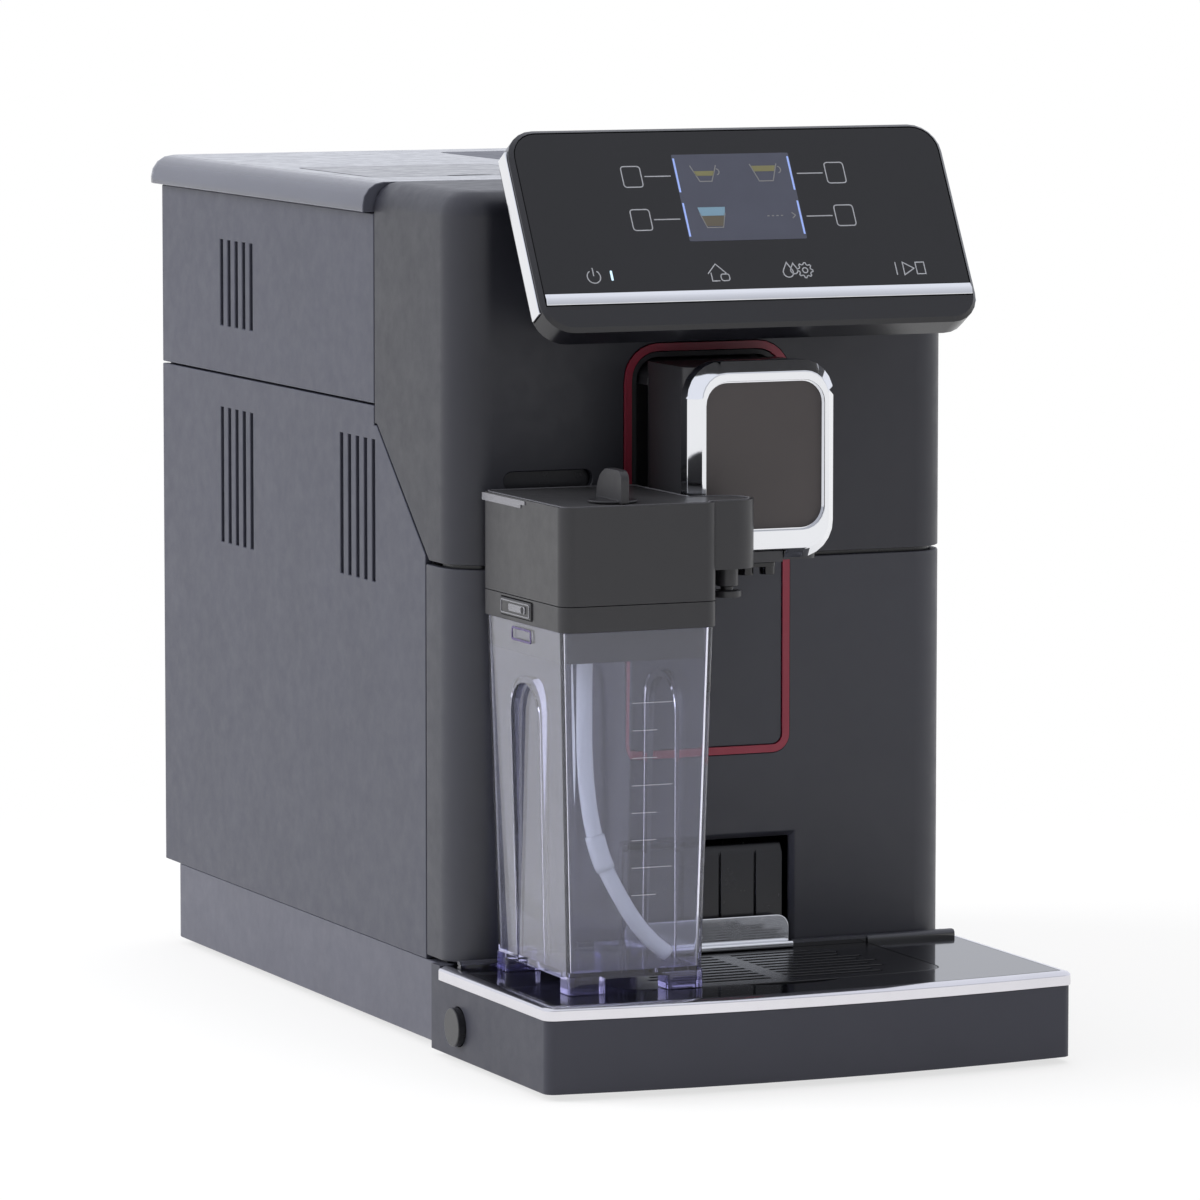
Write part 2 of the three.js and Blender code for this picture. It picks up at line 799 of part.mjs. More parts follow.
// Lower front panel, with the drawer window and the lower half of the groove
function lowerFrontPanel() {
  const top = frontSeamHeight - frontSeamGap / 2
  const half = windowWidth / 2
  const island = trimWidth / 2 - trimLine - seatGap / 2
  const field = prismY(
    outline(-island, island, trimFoot + trimLine + seatGap / 2, top, [
      trimFootRound - trimLine, trimFootRound - trimLine, 0, 0]),
    frontY, frontY + wall,
  )
  const window = prismY(outline(-half, half, frontPanelFoot - overrun, windowTop), frontY - overrun, frontY + wall + overrun)
  const bevel = stackToFront([
    [outline(-half, half, frontPanelFoot - overrun, windowTop), frontY + windowBevel],
    [outline(-half - windowBevel - overrun, half + windowBevel + overrun, frontPanelFoot - overrun - windowBevel,
      windowTop + windowBevel + overrun), frontY - overrun],
  ])
  return join(cut(
    prismZ(casingOutline(0, lowerPanelRearY), frontPanelFoot, top),
    prismZ(casingOutline(wall, lowerPanelRearY + overrun), frontPanelFoot - overrun, top + overrun),
    window, bevel, trimGroove(),
  ), field)
}
place('lower_front_panel', lowerFrontPanel(), charcoal)

// Red frame round the spout channel
function redFrame() {
  const half = trimWidth / 2
  const ring = outline(-half, half, trimFoot, trimTop, [trimFootRound, trimFootRound, trimTopRound, trimTopRound])
  ring.holes.push(outline(trimLine - half, half - trimLine, trimFoot + trimLine, trimTop - trimLine, [
    trimFootRound - trimLine, trimFootRound - trimLine, trimTopRound - trimLine, trimTopRound - trimLine]))
  return prismY(ring, frontY - trimProud, frontY + trimInset - seatGap)
}
place('red_frame', redFrame(), redTrim)

// Spout channel: a glossy trough behind the front face
function spoutChannel() {
  const half = trimWidth / 2 - trimLine - seatGap
  const foot = frontSeamHeight + frontSeamGap / 2
  const top = trimTop - trimLine - seatGap
  const round = trimTopRound - trimLine
  const trough = prismY(outline(-half, half, foot, top, [0, 0, round, round]), frontY + seatGap,
    frontY + channelDepth + channelWall)
  const hollow = prismY(
    outline(channelWall - half, half - channelWall, foot + channelWall, top - channelWall,
      [0, 0, round - channelWall, round - channelWall]),
    frontY - overrun, frontY + channelDepth,
  )
  return cut(trough, hollow)
}
place('spout_channel', spoutChannel(), glossBlack)

// Steam outlet: a seal ring that the carafe butts against
const outletProfile = (bore, radius, length) => [[bore, 0], [radius, 0], [radius, length], [bore, length], [bore, 0]]
place('steam_outlet', turnedToRear(outletProfile(outletBore, outletRadius, outletLength), outletX, frontY - seatGap,
  outletHeight), rubber)

// Console: a wedge that carries the control panel and hooks over the front shell
function panelPoint(depth, drop) {
  const [sine, cosine] = [Math.sin(panelTilt), Math.cos(panelTilt)]
  return [frontY - panelTopLead + depth * cosine - drop * sine, panelTop - depth * sine - drop * cosine]
}
function consoleBody() {
  const back = panelThickness + seatGap
  const inset = 2 * consoleRound
  const shape = polygon([
    [frontY - seatGap - consoleRound, consoleFoot + consoleRound],
    panelPoint(back + consoleRound, panelLength - inset - consoleRound),
    panelPoint(back + consoleRound, inset),
    [frontY + consoleBack - consoleRound, coverTop + seatGap + consoleRound],
    [frontY - seatGap - consoleRound, coverTop + seatGap + consoleRound],
  ])
  const rounded = new THREE.ExtrudeGeometry(shape, {
    depth: consoleWidth - 2 * consoleRound, bevelSize: consoleRound, bevelThickness: consoleRound, bevelSegments: 2,
  })
  const turn = new THREE.Matrix4().makeBasis(axisY, axisZ, axisX)
  return solid(rounded.applyMatrix4(turn).translate(consoleRound - consoleWidth / 2, 0, 0))
}
place('console_body', consoleBody(), darkPlastic)

// Control panel, built upright at its top front edge and then tilted
panelParts.position.set(0, frontY - panelTopLead, panelTop)
panelParts.rotation.x = -panelTilt
function slabOutline(inset) {
  const half = panelWidth / 2 - inset
  return outline(-half, half, inset - panelLength, -inset, panelCorner - inset)
}
function panelHousing() {
  const slab = stackToFront([
    [slabOutline(panelEdge), panelThickness],
    [slabOutline(0), panelThickness - panelEdge],
    [slabOutline(0), panelEdge],
    [slabOutline(panelEdge), 0],
  ])
  const half = panelWidth / 2 - glassMargin
  const glassFoot = barHeight - barFoot
  const glassPocket = prismY(
    outline(-half, half, glassFoot, -glassMargin, [0, 0, panelCorner - glassMargin, panelCorner - glassMargin]),
    -overrun, glassThickness + seatGap,
  )
  const barPocket = block(-half, half, -overrun, glassThickness / 2 + seatGap, -barFoot, glassFoot + seatGap)
  const screenHalf = screenWidth / 2 + seatGap
  const screenPocket = block(-screenHalf, screenHalf, -overrun, glassThickness + screenThickness + 3 * seatGap,
    -screenDrop - screenHeight - seatGap, seatGap - screenDrop)
  const strips = [-1, 1].map((side) => {
    const [near, far] = [side * (panelWidth / 2 - trimStripInset), side * (panelWidth / 2 + overrun)]
    return block(Math.min(near, far), Math.max(near, far), stripFrontY - seatGap, stripFrontY + trimStripWidth + seatGap,
      -trimStripDrop - trimStripLength - seatGap, seatGap - trimStripDrop)
  })
  return cut(slab, glassPocket, barPocket, screenPocket, ...strips)
}
const stripFrontY = (panelThickness - trimStripWidth) / 2
place('control_housing', panelHousing(), darkPlastic, panelParts)

function controlGlass() {
  const half = panelWidth / 2 - glassMargin - seatGap
  const corner = panelCorner - glassMargin - seatGap
  return prismY(outline(-half, half, barHeight - barFoot + seatGap, -glassMargin - seatGap, [0, 0, corner, corner]),
    0, glassThickness)
}
place('control_glass', controlGlass(), glossBlack, panelParts)

function chromeBar() {
  const half = panelWidth / 2 - glassMargin - seatGap
  const foot = seatGap - barFoot
  const top = barHeight - barFoot
  const middle = (foot + top) / 2
  const section = polygon([
    [glassThickness / 2, foot], [glassThickness / 2, top], [-barProud / 2, top],
    [-barProud, middle], [-barProud / 2, foot],
  ])
  return prismX(section, -half, half)
}
place('control_bar', chromeBar(), chrome, panelParts)

for (const [side, sign] of [['left', -1], ['right', 1]]) {
  const [near, far] = [sign * (panelWidth / 2 - trimStripInset + seatGap), sign * (panelWidth / 2 + trimStripProud)]
  const strip = block(Math.min(near, far), Math.max(near, far), stripFrontY, stripFrontY + trimStripWidth,
    -trimStripDrop - trimStripLength, -trimStripDrop)
  place(`control_side_trim_${side}`, strip, chrome, panelParts)
}
place('display_screen', block(-screenWidth / 2, screenWidth / 2, glassThickness + seatGap,
  glassThickness + seatGap + screenThickness, -screenDrop - screenHeight, -screenDrop), screenBlue, panelParts)

// Coffee spout: a head on a slider block that runs in the channel
const headRearY = frontY - spoutHeadGap
const headFrontY = headRearY - spoutHeadDepth
function spoutHead() {
  const half = spoutWidth / 2
  const head = prismZ(outline(-half, half, headFrontY, headRearY, spoutHeadRound), spoutFoot, spoutHeadTop)
  const sliderHalf = trimWidth / 2 - trimLine - channelWall - 2 * runGap
  const slider = prismY(
    outline(-sliderHalf, sliderHalf, sliderFoot, sliderFoot + sliderHeight,
      [0, 0, trimTopRound - trimLine - channelWall - seatGap, trimTopRound - trimLine - channelWall - seatGap]),
    headRearY - overrun, frontY + channelDepth - seatGap,
  )
  const lip = block(-mouthWidth / 2 + seatGap, mouthWidth / 2 - seatGap, headFrontY - ringDepth + ringBevel,
    headFrontY + overrun, spoutFoot, mouthTop - runGap)
  return join(head, slider, lip)
}
place('spout_head', spoutHead(), glossBlack, spoutParts)

const ringRearY = headFrontY - seatGap
const ringFrontY = ringRearY - ringDepth
function spoutRing() {
  const shape = (inset) => outline(inset - ringWidth / 2, ringWidth / 2 - inset, ringFoot + inset, ringTop - inset,
    ringCorner - inset)
  const body = stackToFront([
    [shape(0), ringRearY],
    [shape(0), ringRearY - ringSide],
    [shape(ringBevel), ringFrontY],
  ])
  const margin = seatGap / 2
  const opening = prismY(
    outline(-plateWidth / 2 - margin, plateWidth / 2 + margin, plateFoot - margin, plateTop + margin, plateCorner),
    ringFrontY - overrun, ringRearY + overrun,
  )
  const mouth = block(-mouthWidth / 2, mouthWidth / 2, ringFrontY - overrun, ringRearY + overrun,
    ringFoot - overrun, mouthTop)
  return cut(body, opening, mouth)
}
place('spout_ring', spoutRing(), chrome, spoutParts)
place('spout_plate', prismY(
  outline(-plateWidth / 2, plateWidth / 2, plateFoot, plateTop, plateCorner),
  ringFrontY + plateRecess, ringRearY,
), brownPlate, spoutParts)

// Two coffee nozzles on one bridge under the head
function coffeeNozzles() {
  const y = headFrontY - ringDepth / 4
  const top = spoutFoot - seatGap
  const bridgeFoot = top - nozzleDrop / 3
  const reach = nozzleSpread / 2
  const bridge = prismZ(outline(-reach - nozzleRadius, reach + nozzleRadius, y - nozzleRadius, y + nozzleRadius,
    nozzleRadius - seatGap), bridgeFoot, top)
  const tubes = [-reach, reach].map((x) => rod(nozzleRadius, x, y, top - nozzleDrop, top, 12))
  const bores = [-reach, reach].map((x) => rod(nozzleBore, x, y, top - nozzleDrop - overrun, bridgeFoot, 8))
  return cut(join(bridge, ...tubes), ...bores)
}
place('coffee_nozzles', coffeeNozzles(), glossBlack, spoutParts)

// Outline of the tray: straight sides, rounded front corners and a bowed front
function bowedOutline(half, front, rear, corner, bow) {
  const [middleY, reach, quarter] = [front + bow, half - corner, Math.PI / 2]
  const cornerY = middleY - Math.sqrt((bow - corner) ** 2 - reach ** 2)
  const lean = Math.atan2(reach, middleY - cornerY)
  const shape = new THREE.Shape()
  shape.moveTo(-half, rear)
  shape.lineTo(-half, cornerY)
  shape.absarc(-reach, cornerY, corner, 2 * quarter, 3 * quarter - lean)
  shape.absarc(0, middleY, bow, 3 * quarter - lean, 3 * quarter + lean)
  shape.absarc(reach, cornerY, corner, 3 * quarter + lean, 4 * quarter)
  shape.lineTo(half, rear)
  return shape
}
const trayOutline = (inset, rear) => (
  bowedOutline(trayX - inset, trayFrontY + inset, rear, Math.max(trayCorner - inset, trayInset), trayBow - inset)
)
const bowSteps = 4

// Drip tray: a basin in front of the machine, with a tail that runs in under the drawer
const trayRearY = plinthFrontY - seatGap
const tailRearY = trayRearY + tailDepth
const wallTop = rimFoot - seatGap
const drawerFoot = frontPanelFoot + seatGap + seatGap
const buttonY = frontY - buttonLead
function dripTray() {
  const basin = prismZ(trayOutline(trayInset, trayRearY), trayFoot, wallTop, bowSteps)
  const basinHollow = prismZ(trayOutline(trayInset + wall, trayRearY - wall), trayFoot + trayFloor,
    wallTop + overrun, bowSteps)
  const tailFoot = footHeight + wall + seatGap
  const tailX = tailWidth / 2
  const tail = block(-tailX, tailX, trayRearY - wall, tailRearY, tailFoot, tailTop)
  const tailHollow = block(thinWall - tailX, tailX - thinWall, trayRearY - wall - overrun, tailRearY - thinWall,
    tailFoot + thinWall, tailTop + overrun)
  const rails = [-1, 1].map((side) => block(
    side * railSpacing / 2 - railWidth / 2, side * railSpacing / 2 + railWidth / 2,
    trayRearY - wall / 2, tailRearY - overrun, tailFoot + thinWall / 2, drawerFoot - seatGap,
  ))
  const rearPosts = [-1, 1].map((side) => {
    const [near, far] = [side * (trayX - trayInset - postWidth), side * (trayX - trayInset)]
    return block(Math.min(near, far), Math.max(near, far), frontY + rimRearLead + seatGap, trayRearY,
      trayFoot + trayFloor, rimTop)
  })
  const bores = [-1, 1].map((side) => {
    const [near, far] = [side * (trayX - wall - overrun), side * (trayX + overrun)]
    return rodX(buttonBore, buttonY, buttonHeight, Math.min(near, far), Math.max(near, far))
  })
  return cut(join(cut(join(basin, tail), basinHollow, tailHollow), ...rails, ...rearPosts), ...bores)
}
place('drip_tray', dripTray(), charcoal, trayParts)

// Chrome rim: a band round three sides of the tray, with an inner ledge for the cover
const rimRearY = frontY + rimRearLead
function trayRim() {
  const band = stack([
    [trayOutline(0, rimRearY), rimFoot],
    [trayOutline(0, rimRearY), rimFoot + rimFace],
    [trayOutline(rimSlope, rimRearY), rimTop - rimSlope / 2],
    [trayOutline(rimBand - rimSlope, rimRearY), rimTop],
  ], bowSteps)
  const inner = trayOutline(rimBand, rimRearY + overrun)
  const ledge = trayOutline(rimBand + rimLedge, rimRearY + overrun)
  return cut(
    band,
    prismZ(inner, rimFoot + rimLedgeHeight, rimTop + overrun, bowSteps),
    prismZ(ledge, rimFoot - overrun, rimTop + overrun, bowSteps),
  )
}
place('tray_rim', trayRim(), chrome, trayParts)

// Glossy tray cover with a pocket for the grille and a raised ridge along the front face
const coverX = trayX - rimBand - seatGap
const coverFoot = rimTop - coverSheet
const grilleFrontY = frontY - grilleFrontDepth
const grilleRearY = frontY - grilleRearDepth
const grilleOutline = (grow) => bowedOutline(grilleWidth / 2 + grow, grilleFrontY - grow, grilleRearY + grow,
  grilleCorner + grow, grilleBow)
function trayCover() {
  const rear = frontY - coverLead
  const sheet = prismZ(trayOutline(rimBand + seatGap, rear), coverFoot, rimTop, bowSteps)
  const ridge = (x0, x1) => prismX(
    outline(rear - ridgeDepth, rear, rimTop - ridgeSink, rimTop + ridgeHeight, [0, 0, 0, ridgeDepth / 2]), x0, x1, 2,
  )
  const ridgeStart = splashWidth / 2 + runGap
  const ridgeEnd = coverX - seatGap
  const pocket = prismZ(grilleOutline(seatGap), rimTop - grilleSheet - seatGap, rimTop + overrun, bowSteps)
  const well = prismZ(grilleOutline(-grilleMargin / 2), coverFoot - overrun, rimTop, bowSteps)
  const recess = solid(new THREE.CylinderGeometry(1, 1, grilleSheet, 24).rotateX(Math.PI / 2)
    .scale(fingerWidth / 2, fingerDepth, 1).translate(0, grilleFrontY + seatGap, rimTop))
  return cut(join(sheet, ridge(ridgeStart, ridgeEnd), ridge(-ridgeEnd, -ridgeStart)), pocket, well, recess)
}
place('tray_cover', trayCover(), glossBlack, trayParts)

// Cup grille: a plate with rows of slots, whose ends lie on an arc
const floatY = frontY - floatLead
function cupGrille() {
  const sheet = prismZ(grilleOutline(0), rimTop - grilleSheet, rimTop, bowSteps)
  const firstY = (grilleFrontY + grilleRearY - (grilleSlotCount - 1) * grillePitch) / 2
  const slots = []
  for (let row = 0; row < grilleSlotCount; row += 1) {
    const rowShare = 2 * row / (grilleSlotCount - 1) - 1
    const stagger = row % 2 * grilleStep
    const reach = grilleSlotLength - grilleSweep * rowShare ** 2 - stagger
    const y = firstY + row * grillePitch
    for (const side of [-1, 1]) {
      const [near, far] = [side * grilleMargin / 2, side * reach]
      slots.push(block(Math.min(near, far), Math.max(near, far), y - grilleSlot / 2, y + grilleSlot / 2,
        rimTop - grilleSheet - overrun, rimTop + overrun))
    }
  }
  const floatHole = rod(floatStem + runGap / 2, floatX, floatY, rimTop - grilleSheet - overrun, rimTop + overrun, 12)
  return cut(sheet, floatHole, ...slots)
}
place('cup_grille', cupGrille(), glossBlack, trayParts)

// Chrome splash plate that stands in the window on a bead
function splashPlate() {
  const half = splashWidth / 2
  const rear = frontY - coverLead + splashSheet
  const plate = prismY(
    outline(-half, half, rimTop + seatGap, splashTop, [0, 0, splashCorner, splashCorner]), rear - splashSheet, rear,
  )
  const bead = prismX(
    outline(rear - beadDepth, rear, rimTop + seatGap, rimTop + seatGap + beadHeight, [beadHeight / 3, 0, 0, beadHeight / 3]),
    -half, half, 2,
  )
  return join(plate, bead)
}
place('splash_plate', splashPlate(), chrome, trayParts)

// Grounds drawer: an open box with a grooved face, carried by the rails of the tail
function groundsDrawer() {
  const half = drawerWidth / 2
  const faceY = frontY + drawerFaceInset
  const rearY = faceY + drawerDepth
  const box = block(-half, half, faceY, rearY, drawerFoot, drawerTop)
  const hollow = block(drawerWall - half, half - drawerWall, faceY + drawerFace, rearY - drawerWall,
    drawerFoot + drawerWall, drawerTop + overrun)
  const chamfer = prismX(polygon([
    [faceY - overrun, drawerTop + overrun],
    [faceY - overrun, drawerTop - drawerChamfer - overrun],
    [faceY, drawerTop - drawerChamfer],
    [faceY + drawerFace / 2, drawerTop],
    [faceY + drawerFace / 2, drawerTop + overrun],
  ]), -half - overrun, half + overrun)
  const grooves = Array.from({ length: grooveCount }, (_, i) => {
    const x = (i - (grooveCount - 1) / 2) * grooveSpacing
    return block(x - grooveWidth / 2, x + grooveWidth / 2, faceY - overrun, faceY + grooveDepth,
      drawerFoot - overrun, drawerTop + overrun)
  })
  return cut(box, hollow, chamfer, ...grooves)
}
place('grounds_drawer', groundsDrawer(), darkPlastic, trayParts)

// Release buttons at both sides of the tray
const buttonTip = overallWidth / 2
for (const [side, sign] of [['left', -1], ['right', 1]]) {
  const [near, far] = [sign * (buttonTip - buttonLength), sign * buttonTip]
  place(`tray_button_${side}`, rodX(buttonRadius, buttonY, buttonHeight, Math.min(near, far), Math.max(near, far)),
    darkPlastic, trayParts)
}

// Float that rises through the grille when the tray is full
function trayFloat() {
  const foot = trayFoot + trayFloor + seatGap
  return turned([
    [0, foot], [floatDisc, foot], [floatDisc, foot + floatDiscHeight], [floatStem, foot + floatDiscHeight],
    [floatStem, rimTop - floatDrop], [0, rimTop - floatDrop],
  ], floatX, floatY, 0, 16)
}
place('tray_float', trayFloat(), redTrim, trayParts)

// Milk carafe body: a thin tapered tub on four legs, with a grip groove in each side
const carafeFrontY = frontY - carafeLead
const carafeMidY = carafeFrontY + carafeLength / 2
function carafeOutline(width, length, corner) {
  return outline(carafeX - width / 2, carafeX + width / 2, carafeMidY - length / 2, carafeMidY + length / 2, corner)
}
function carafeBody() {
  const top = collarFoot - seatGap
  const taper = (height) => {
    const share = (height - bodyFloorHeight) / (top - bodyFloorHeight)
    return [
      bodyFootWidth + share * (bodyTopWidth - bodyFootWidth),
      bodyFootLength + share * (bodyTopLength - bodyFootLength),
    ]
  }
  const layer = (height, inset) => {
    const [width, length] = taper(height)
    return [carafeOutline(width - 2 * inset, length - 2 * inset, bodyCorner - inset), height]
  }
  const floorTop = bodyFloorHeight + bodyFloor
  const outer = stack([layer(bodyFloorHeight, 0), layer(top, 0)])
  const hollow = stack([layer(floorTop, thinWall), layer(top + overrun, thinWall)])
  const groove = (side, grow) => {
    const [width] = taper(gripTop)
    const near = carafeX + side * (width / 2 - gripDepth - grow)
    const far = near + side * (gripDepth + grow + overrun)
    const y = frontY - gripLead
    const shape = outline(y - gripHalfWidth - grow, y + gripHalfWidth + grow, bodyFloorHeight - overrun, gripTop + grow,
      [0, 0, gripHalfWidth, gripHalfWidth])
    return prismX(shape, Math.min(near, far), Math.max(near, far))
  }
  const legFoot = rimTop + seatGap
  const legs = [-1, 1].flatMap((sideways) => [-1, 1].map((lengthways) => {
    const x = carafeX + sideways * (bodyFootWidth / 2 - legWidth / 2)
    const y = carafeMidY + lengthways * (bodyFootLength / 2 - legLength / 2)
    return prismZ(outline(x - legWidth / 2, x + legWidth / 2, y - legLength / 2, y + legLength / 2, legCorner),
      legFoot, floorTop - bodyFloor / 2, 2)
  }))
  const inner = cut(hollow, groove(-1, thinWall), groove(1, thinWall))
  return join(cut(outer, inner, groove(-1, 0), groove(1, 0)), ...legs)
}
place('carafe_body', carafeBody(), clearPlastic, carafeParts)

// Collar: a ring on the carafe body with a skirt inside it and a window for each latch button
const latchY = frontY - latchLead
function carafeCollar() {
  const outer = prismZ(carafeOutline(lidWidth, carafeLength, lidCorner), collarFoot, collarTop)
  const skirtWidth = bodyTopWidth - 2 * thinWall - 2 * runGap
  const skirtLength = bodyTopLength - 2 * thinWall - 2 * runGap
  const skirt = prismZ(carafeOutline(skirtWidth, skirtLength, bodyCorner - thinWall), collarFoot - skirtDrop, collarTop)
  const bore = prismZ(
    carafeOutline(skirtWidth - 2 * skirtWall, skirtLength - 2 * skirtWall, bodyCorner - thinWall),
    collarFoot - skirtDrop - overrun, collarTop + overrun,
  )
  const pockets = [-1, 1].map((side) => {
    const [near, far] = [carafeX + side * (lidWidth / 2 - collarWall), carafeX + side * (lidWidth / 2 + overrun)]
    return block(Math.min(near, far), Math.max(near, far), latchY - latchWidth / 2 - seatGap, latchY + latchWidth / 2 + seatGap,
      latchFoot - seatGap, latchFoot + latchHeight + seatGap)
  })
  return cut(join(outer, skirt), bore, ...pockets)
}
place('carafe_collar', carafeCollar(), carafeGrey, carafeParts)
for (const [side, sign] of [['left', -1], ['right', 1]]) {
  const far = carafeX + sign * (lidWidth / 2 + (sign < 0 ? latchProud : 0))
  const near = far - sign * latchThickness
  place(`carafe_button_${side}`, block(Math.min(near, far), Math.max(near, far), latchY - latchWidth / 2,
    latchY + latchWidth / 2, latchFoot, latchFoot + latchHeight), carafeGrey, carafeParts)
}

// Lid with the frothing chamber, the milk arm and a steam socket at the rear
const armY = frontY - armLead
const armRadius = armWidth / 2
function armOutline(inset) {
  const right = -armReach - inset
  const radius = armRadius - inset
  return outline(carafeX, right, armY - radius, armY + radius, [0, radius - seatGap, radius - seatGap, 0])
}
function carafeLid() {
  const shell = prismZ(carafeOutline(lidWidth, carafeLength, lidCorner), lidFoot, lidTop)
  const arm = prismZ(armOutline(0), armFoot, lidTop, 4)
  const pocket = join(
    prismZ(carafeOutline(lidWidth - 2 * lidMargin, carafeLength - 2 * lidMargin, lidCorner - lidMargin),
      lidTop - lidPlate - seatGap, lidTop + overrun),
    prismZ(armOutline(lidMargin), lidTop - lidPlate - seatGap, lidTop + overrun, 4),
  )
  const rearY = carafeFrontY + carafeLength
  const socket = rodY(socketRadius, outletX, outletHeight, rearY - overrun, frontY - 2 * seatGap)
  const bore = rodY(socketBore, outletX, outletHeight, rearY - overrun, frontY + overrun, 10)
  return cut(join(shell, arm, socket), pocket, bore)
}
place('carafe_lid', carafeLid(), carafeGrey, carafeParts)
function lidTopPlate() {
  const inset = lidMargin + seatGap
  const seat = lidTop - lidPlate
  const field = prismZ(carafeOutline(lidWidth - 2 * inset, carafeLength - 2 * inset, lidCorner - lidMargin), seat, lidTop)
  return join(field, prismZ(armOutline(inset), seat, lidTop, 4))
}
place('carafe_top_plate', lidTopPlate(), darkPlastic, carafeParts)

// Froth lever: an upright fin on a turning disc
function frothLever() {
  const y = frontY - leverLead
  const foot = lidTop + seatGap
  const disc = rod(leverDisc, leverX, y, foot, foot + leverDiscHeight)
  const fin = prismX(
    outline(y - leverLength / 2, y + leverLength / 2, foot, foot + leverHeight, [0, 0, leverRearRound, leverFrontRound]),
    leverX - leverThickness / 2, leverX + leverThickness / 2,
  )
  return join(disc, fin)
}
place('froth_lever', frothLever(), carafeGrey, carafeParts)

// Milk nozzle under the arm, with a flange on its neck
const milkX = -armReach - armRadius + thinWall / 2
function milkNozzle() {
  const top = armFoot - seatGap
  const neckTop = top - milkTubeLength
  const flangeTop = neckTop - milkNeckLength
  const foot = flangeTop - milkFlangeLength
  return turned([
    [0, foot], [milkFlangeRadius, foot], [milkFlangeRadius, flangeTop], [milkNeckRadius, flangeTop],
    [milkNeckRadius, neckTop], [milkTubeRadius, neckTop], [milkTubeRadius, top], [0, top],
  ], milkX, armY, 0, 16)
}
place('milk_nozzle', milkNozzle(), carafeGrey, carafeParts)

// Suction hose from the lid to the floor of the carafe
function suctionHose() {
  const curve = new THREE.CatmullRomCurve3(hoseRoute.map((point) => new THREE.Vector3(...point)), false, 'centripetal')
  const ring = new THREE.Shape(Array.from({ length: hoseSideCount }, (_, i) => {
    const angle = i / hoseSideCount * 2 * Math.PI
    return new THREE.Vector2(hoseRadius * Math.cos(angle), hoseRadius * Math.sin(angle))
  }))
  return solid(new THREE.ExtrudeGeometry(ring, { steps: hoseStepCount, extrudePath: curve, bevelEnabled: false }))
}
place('suction_hose', suctionHose(), siliconeTube, carafeParts)

// Water tank, which lifts out through the top cover by its lid
function waterTank() {
  const margin = runGap
  const shape = (inset) => outline(tankLeft + margin + inset, tankRight - margin - inset,
    tankFront + margin + inset, tankRear - margin - inset, tankRound - inset)
  return cut(prismZ(shape(0), deckTop + seatGap, tankTop), prismZ(shape(tankWall), deckTop + seatGap + tankWall,
    tankTop + overrun))
}
const tankTop = coverTop - lidSheet - seatGap
place('water_tank', waterTank(), smokedPlastic)
function lidPlateSheet(x0, x1, y0, y1) {
  const sheet = prismZ(outline(x0 + seamGap, x1 - seamGap, y0 + seamGap, y1 - seamGap, lidRound - seamGap / 2),
    coverTop - lidSheet, coverTop)
  const middle = (x0 + x1) / 2
  const notch = solid(new THREE.CylinderGeometry(1, 1, lidSheet, 24).rotateX(Math.PI / 2)
    .scale(doorGripWidth, doorGripWidth / 2, 1).translate(middle, y0 + seamGap, coverTop))
  return cut(sheet, notch)
}
place('tank_lid', lidPlateSheet(tankLeft, tankRight, tankFront, tankRear), charcoal)

// Bean hopper: a funnel under the top cover, with its lid and the grind setting knob
function beanHopper() {
  const top = coverTop - lidSheet - lidShelf - seatGap
  const shape = (inset) => outline(inset - hopperLeft + lidShelf / 2, -hopperRight - lidShelf / 2 - inset,
    hopperFront + lidShelf / 2 + inset, bulkheadY - seatGap - inset, lidRound)
  const throat = outline(grinderX - throatRadius, grinderX + throatRadius, grinderY - throatRadius,
    grinderY + throatRadius, throatRadius - seatGap)
  const throatIn = throatRadius - hopperWall
  const throatHole = outline(grinderX - throatIn, grinderX + throatIn, grinderY - throatIn, grinderY + throatIn,
    throatIn - seatGap)
  const shoulder = hopperFoot + (top - hopperFoot) / 2
  const outer = stack([[throat, hopperFoot], [throat, hopperFoot + throatLength], [shape(0), shoulder], [shape(0), top]])
  const inner = stack([
    [throatHole, hopperFoot - overrun], [throatHole, hopperFoot + throatLength + hopperWall],
    [shape(hopperWall), shoulder + hopperWall], [shape(hopperWall), top + overrun],
  ])
  return cut(outer, inner)
}
place('bean_hopper', beanHopper(), smokedPlastic)
place('hopper_lid', lidPlateSheet(-hopperLeft, -hopperRight, hopperFront, hopperRear), smokedPlastic)
const burrFoot = grinderTop - grinderCaseDepth + seatGap
const knobSeat = burrFoot + burrHeight + seatGap
place('grind_knob', turned([
  [0, knobSeat], [knobSpindle, knobSeat], [knobSpindle, knobTop - knobHeight], [knobRadius, knobTop - knobHeight],
  [knobRadius - thinWall, knobTop], [0, knobTop],
], grinderX, grinderY, 0, 16), darkPlastic)

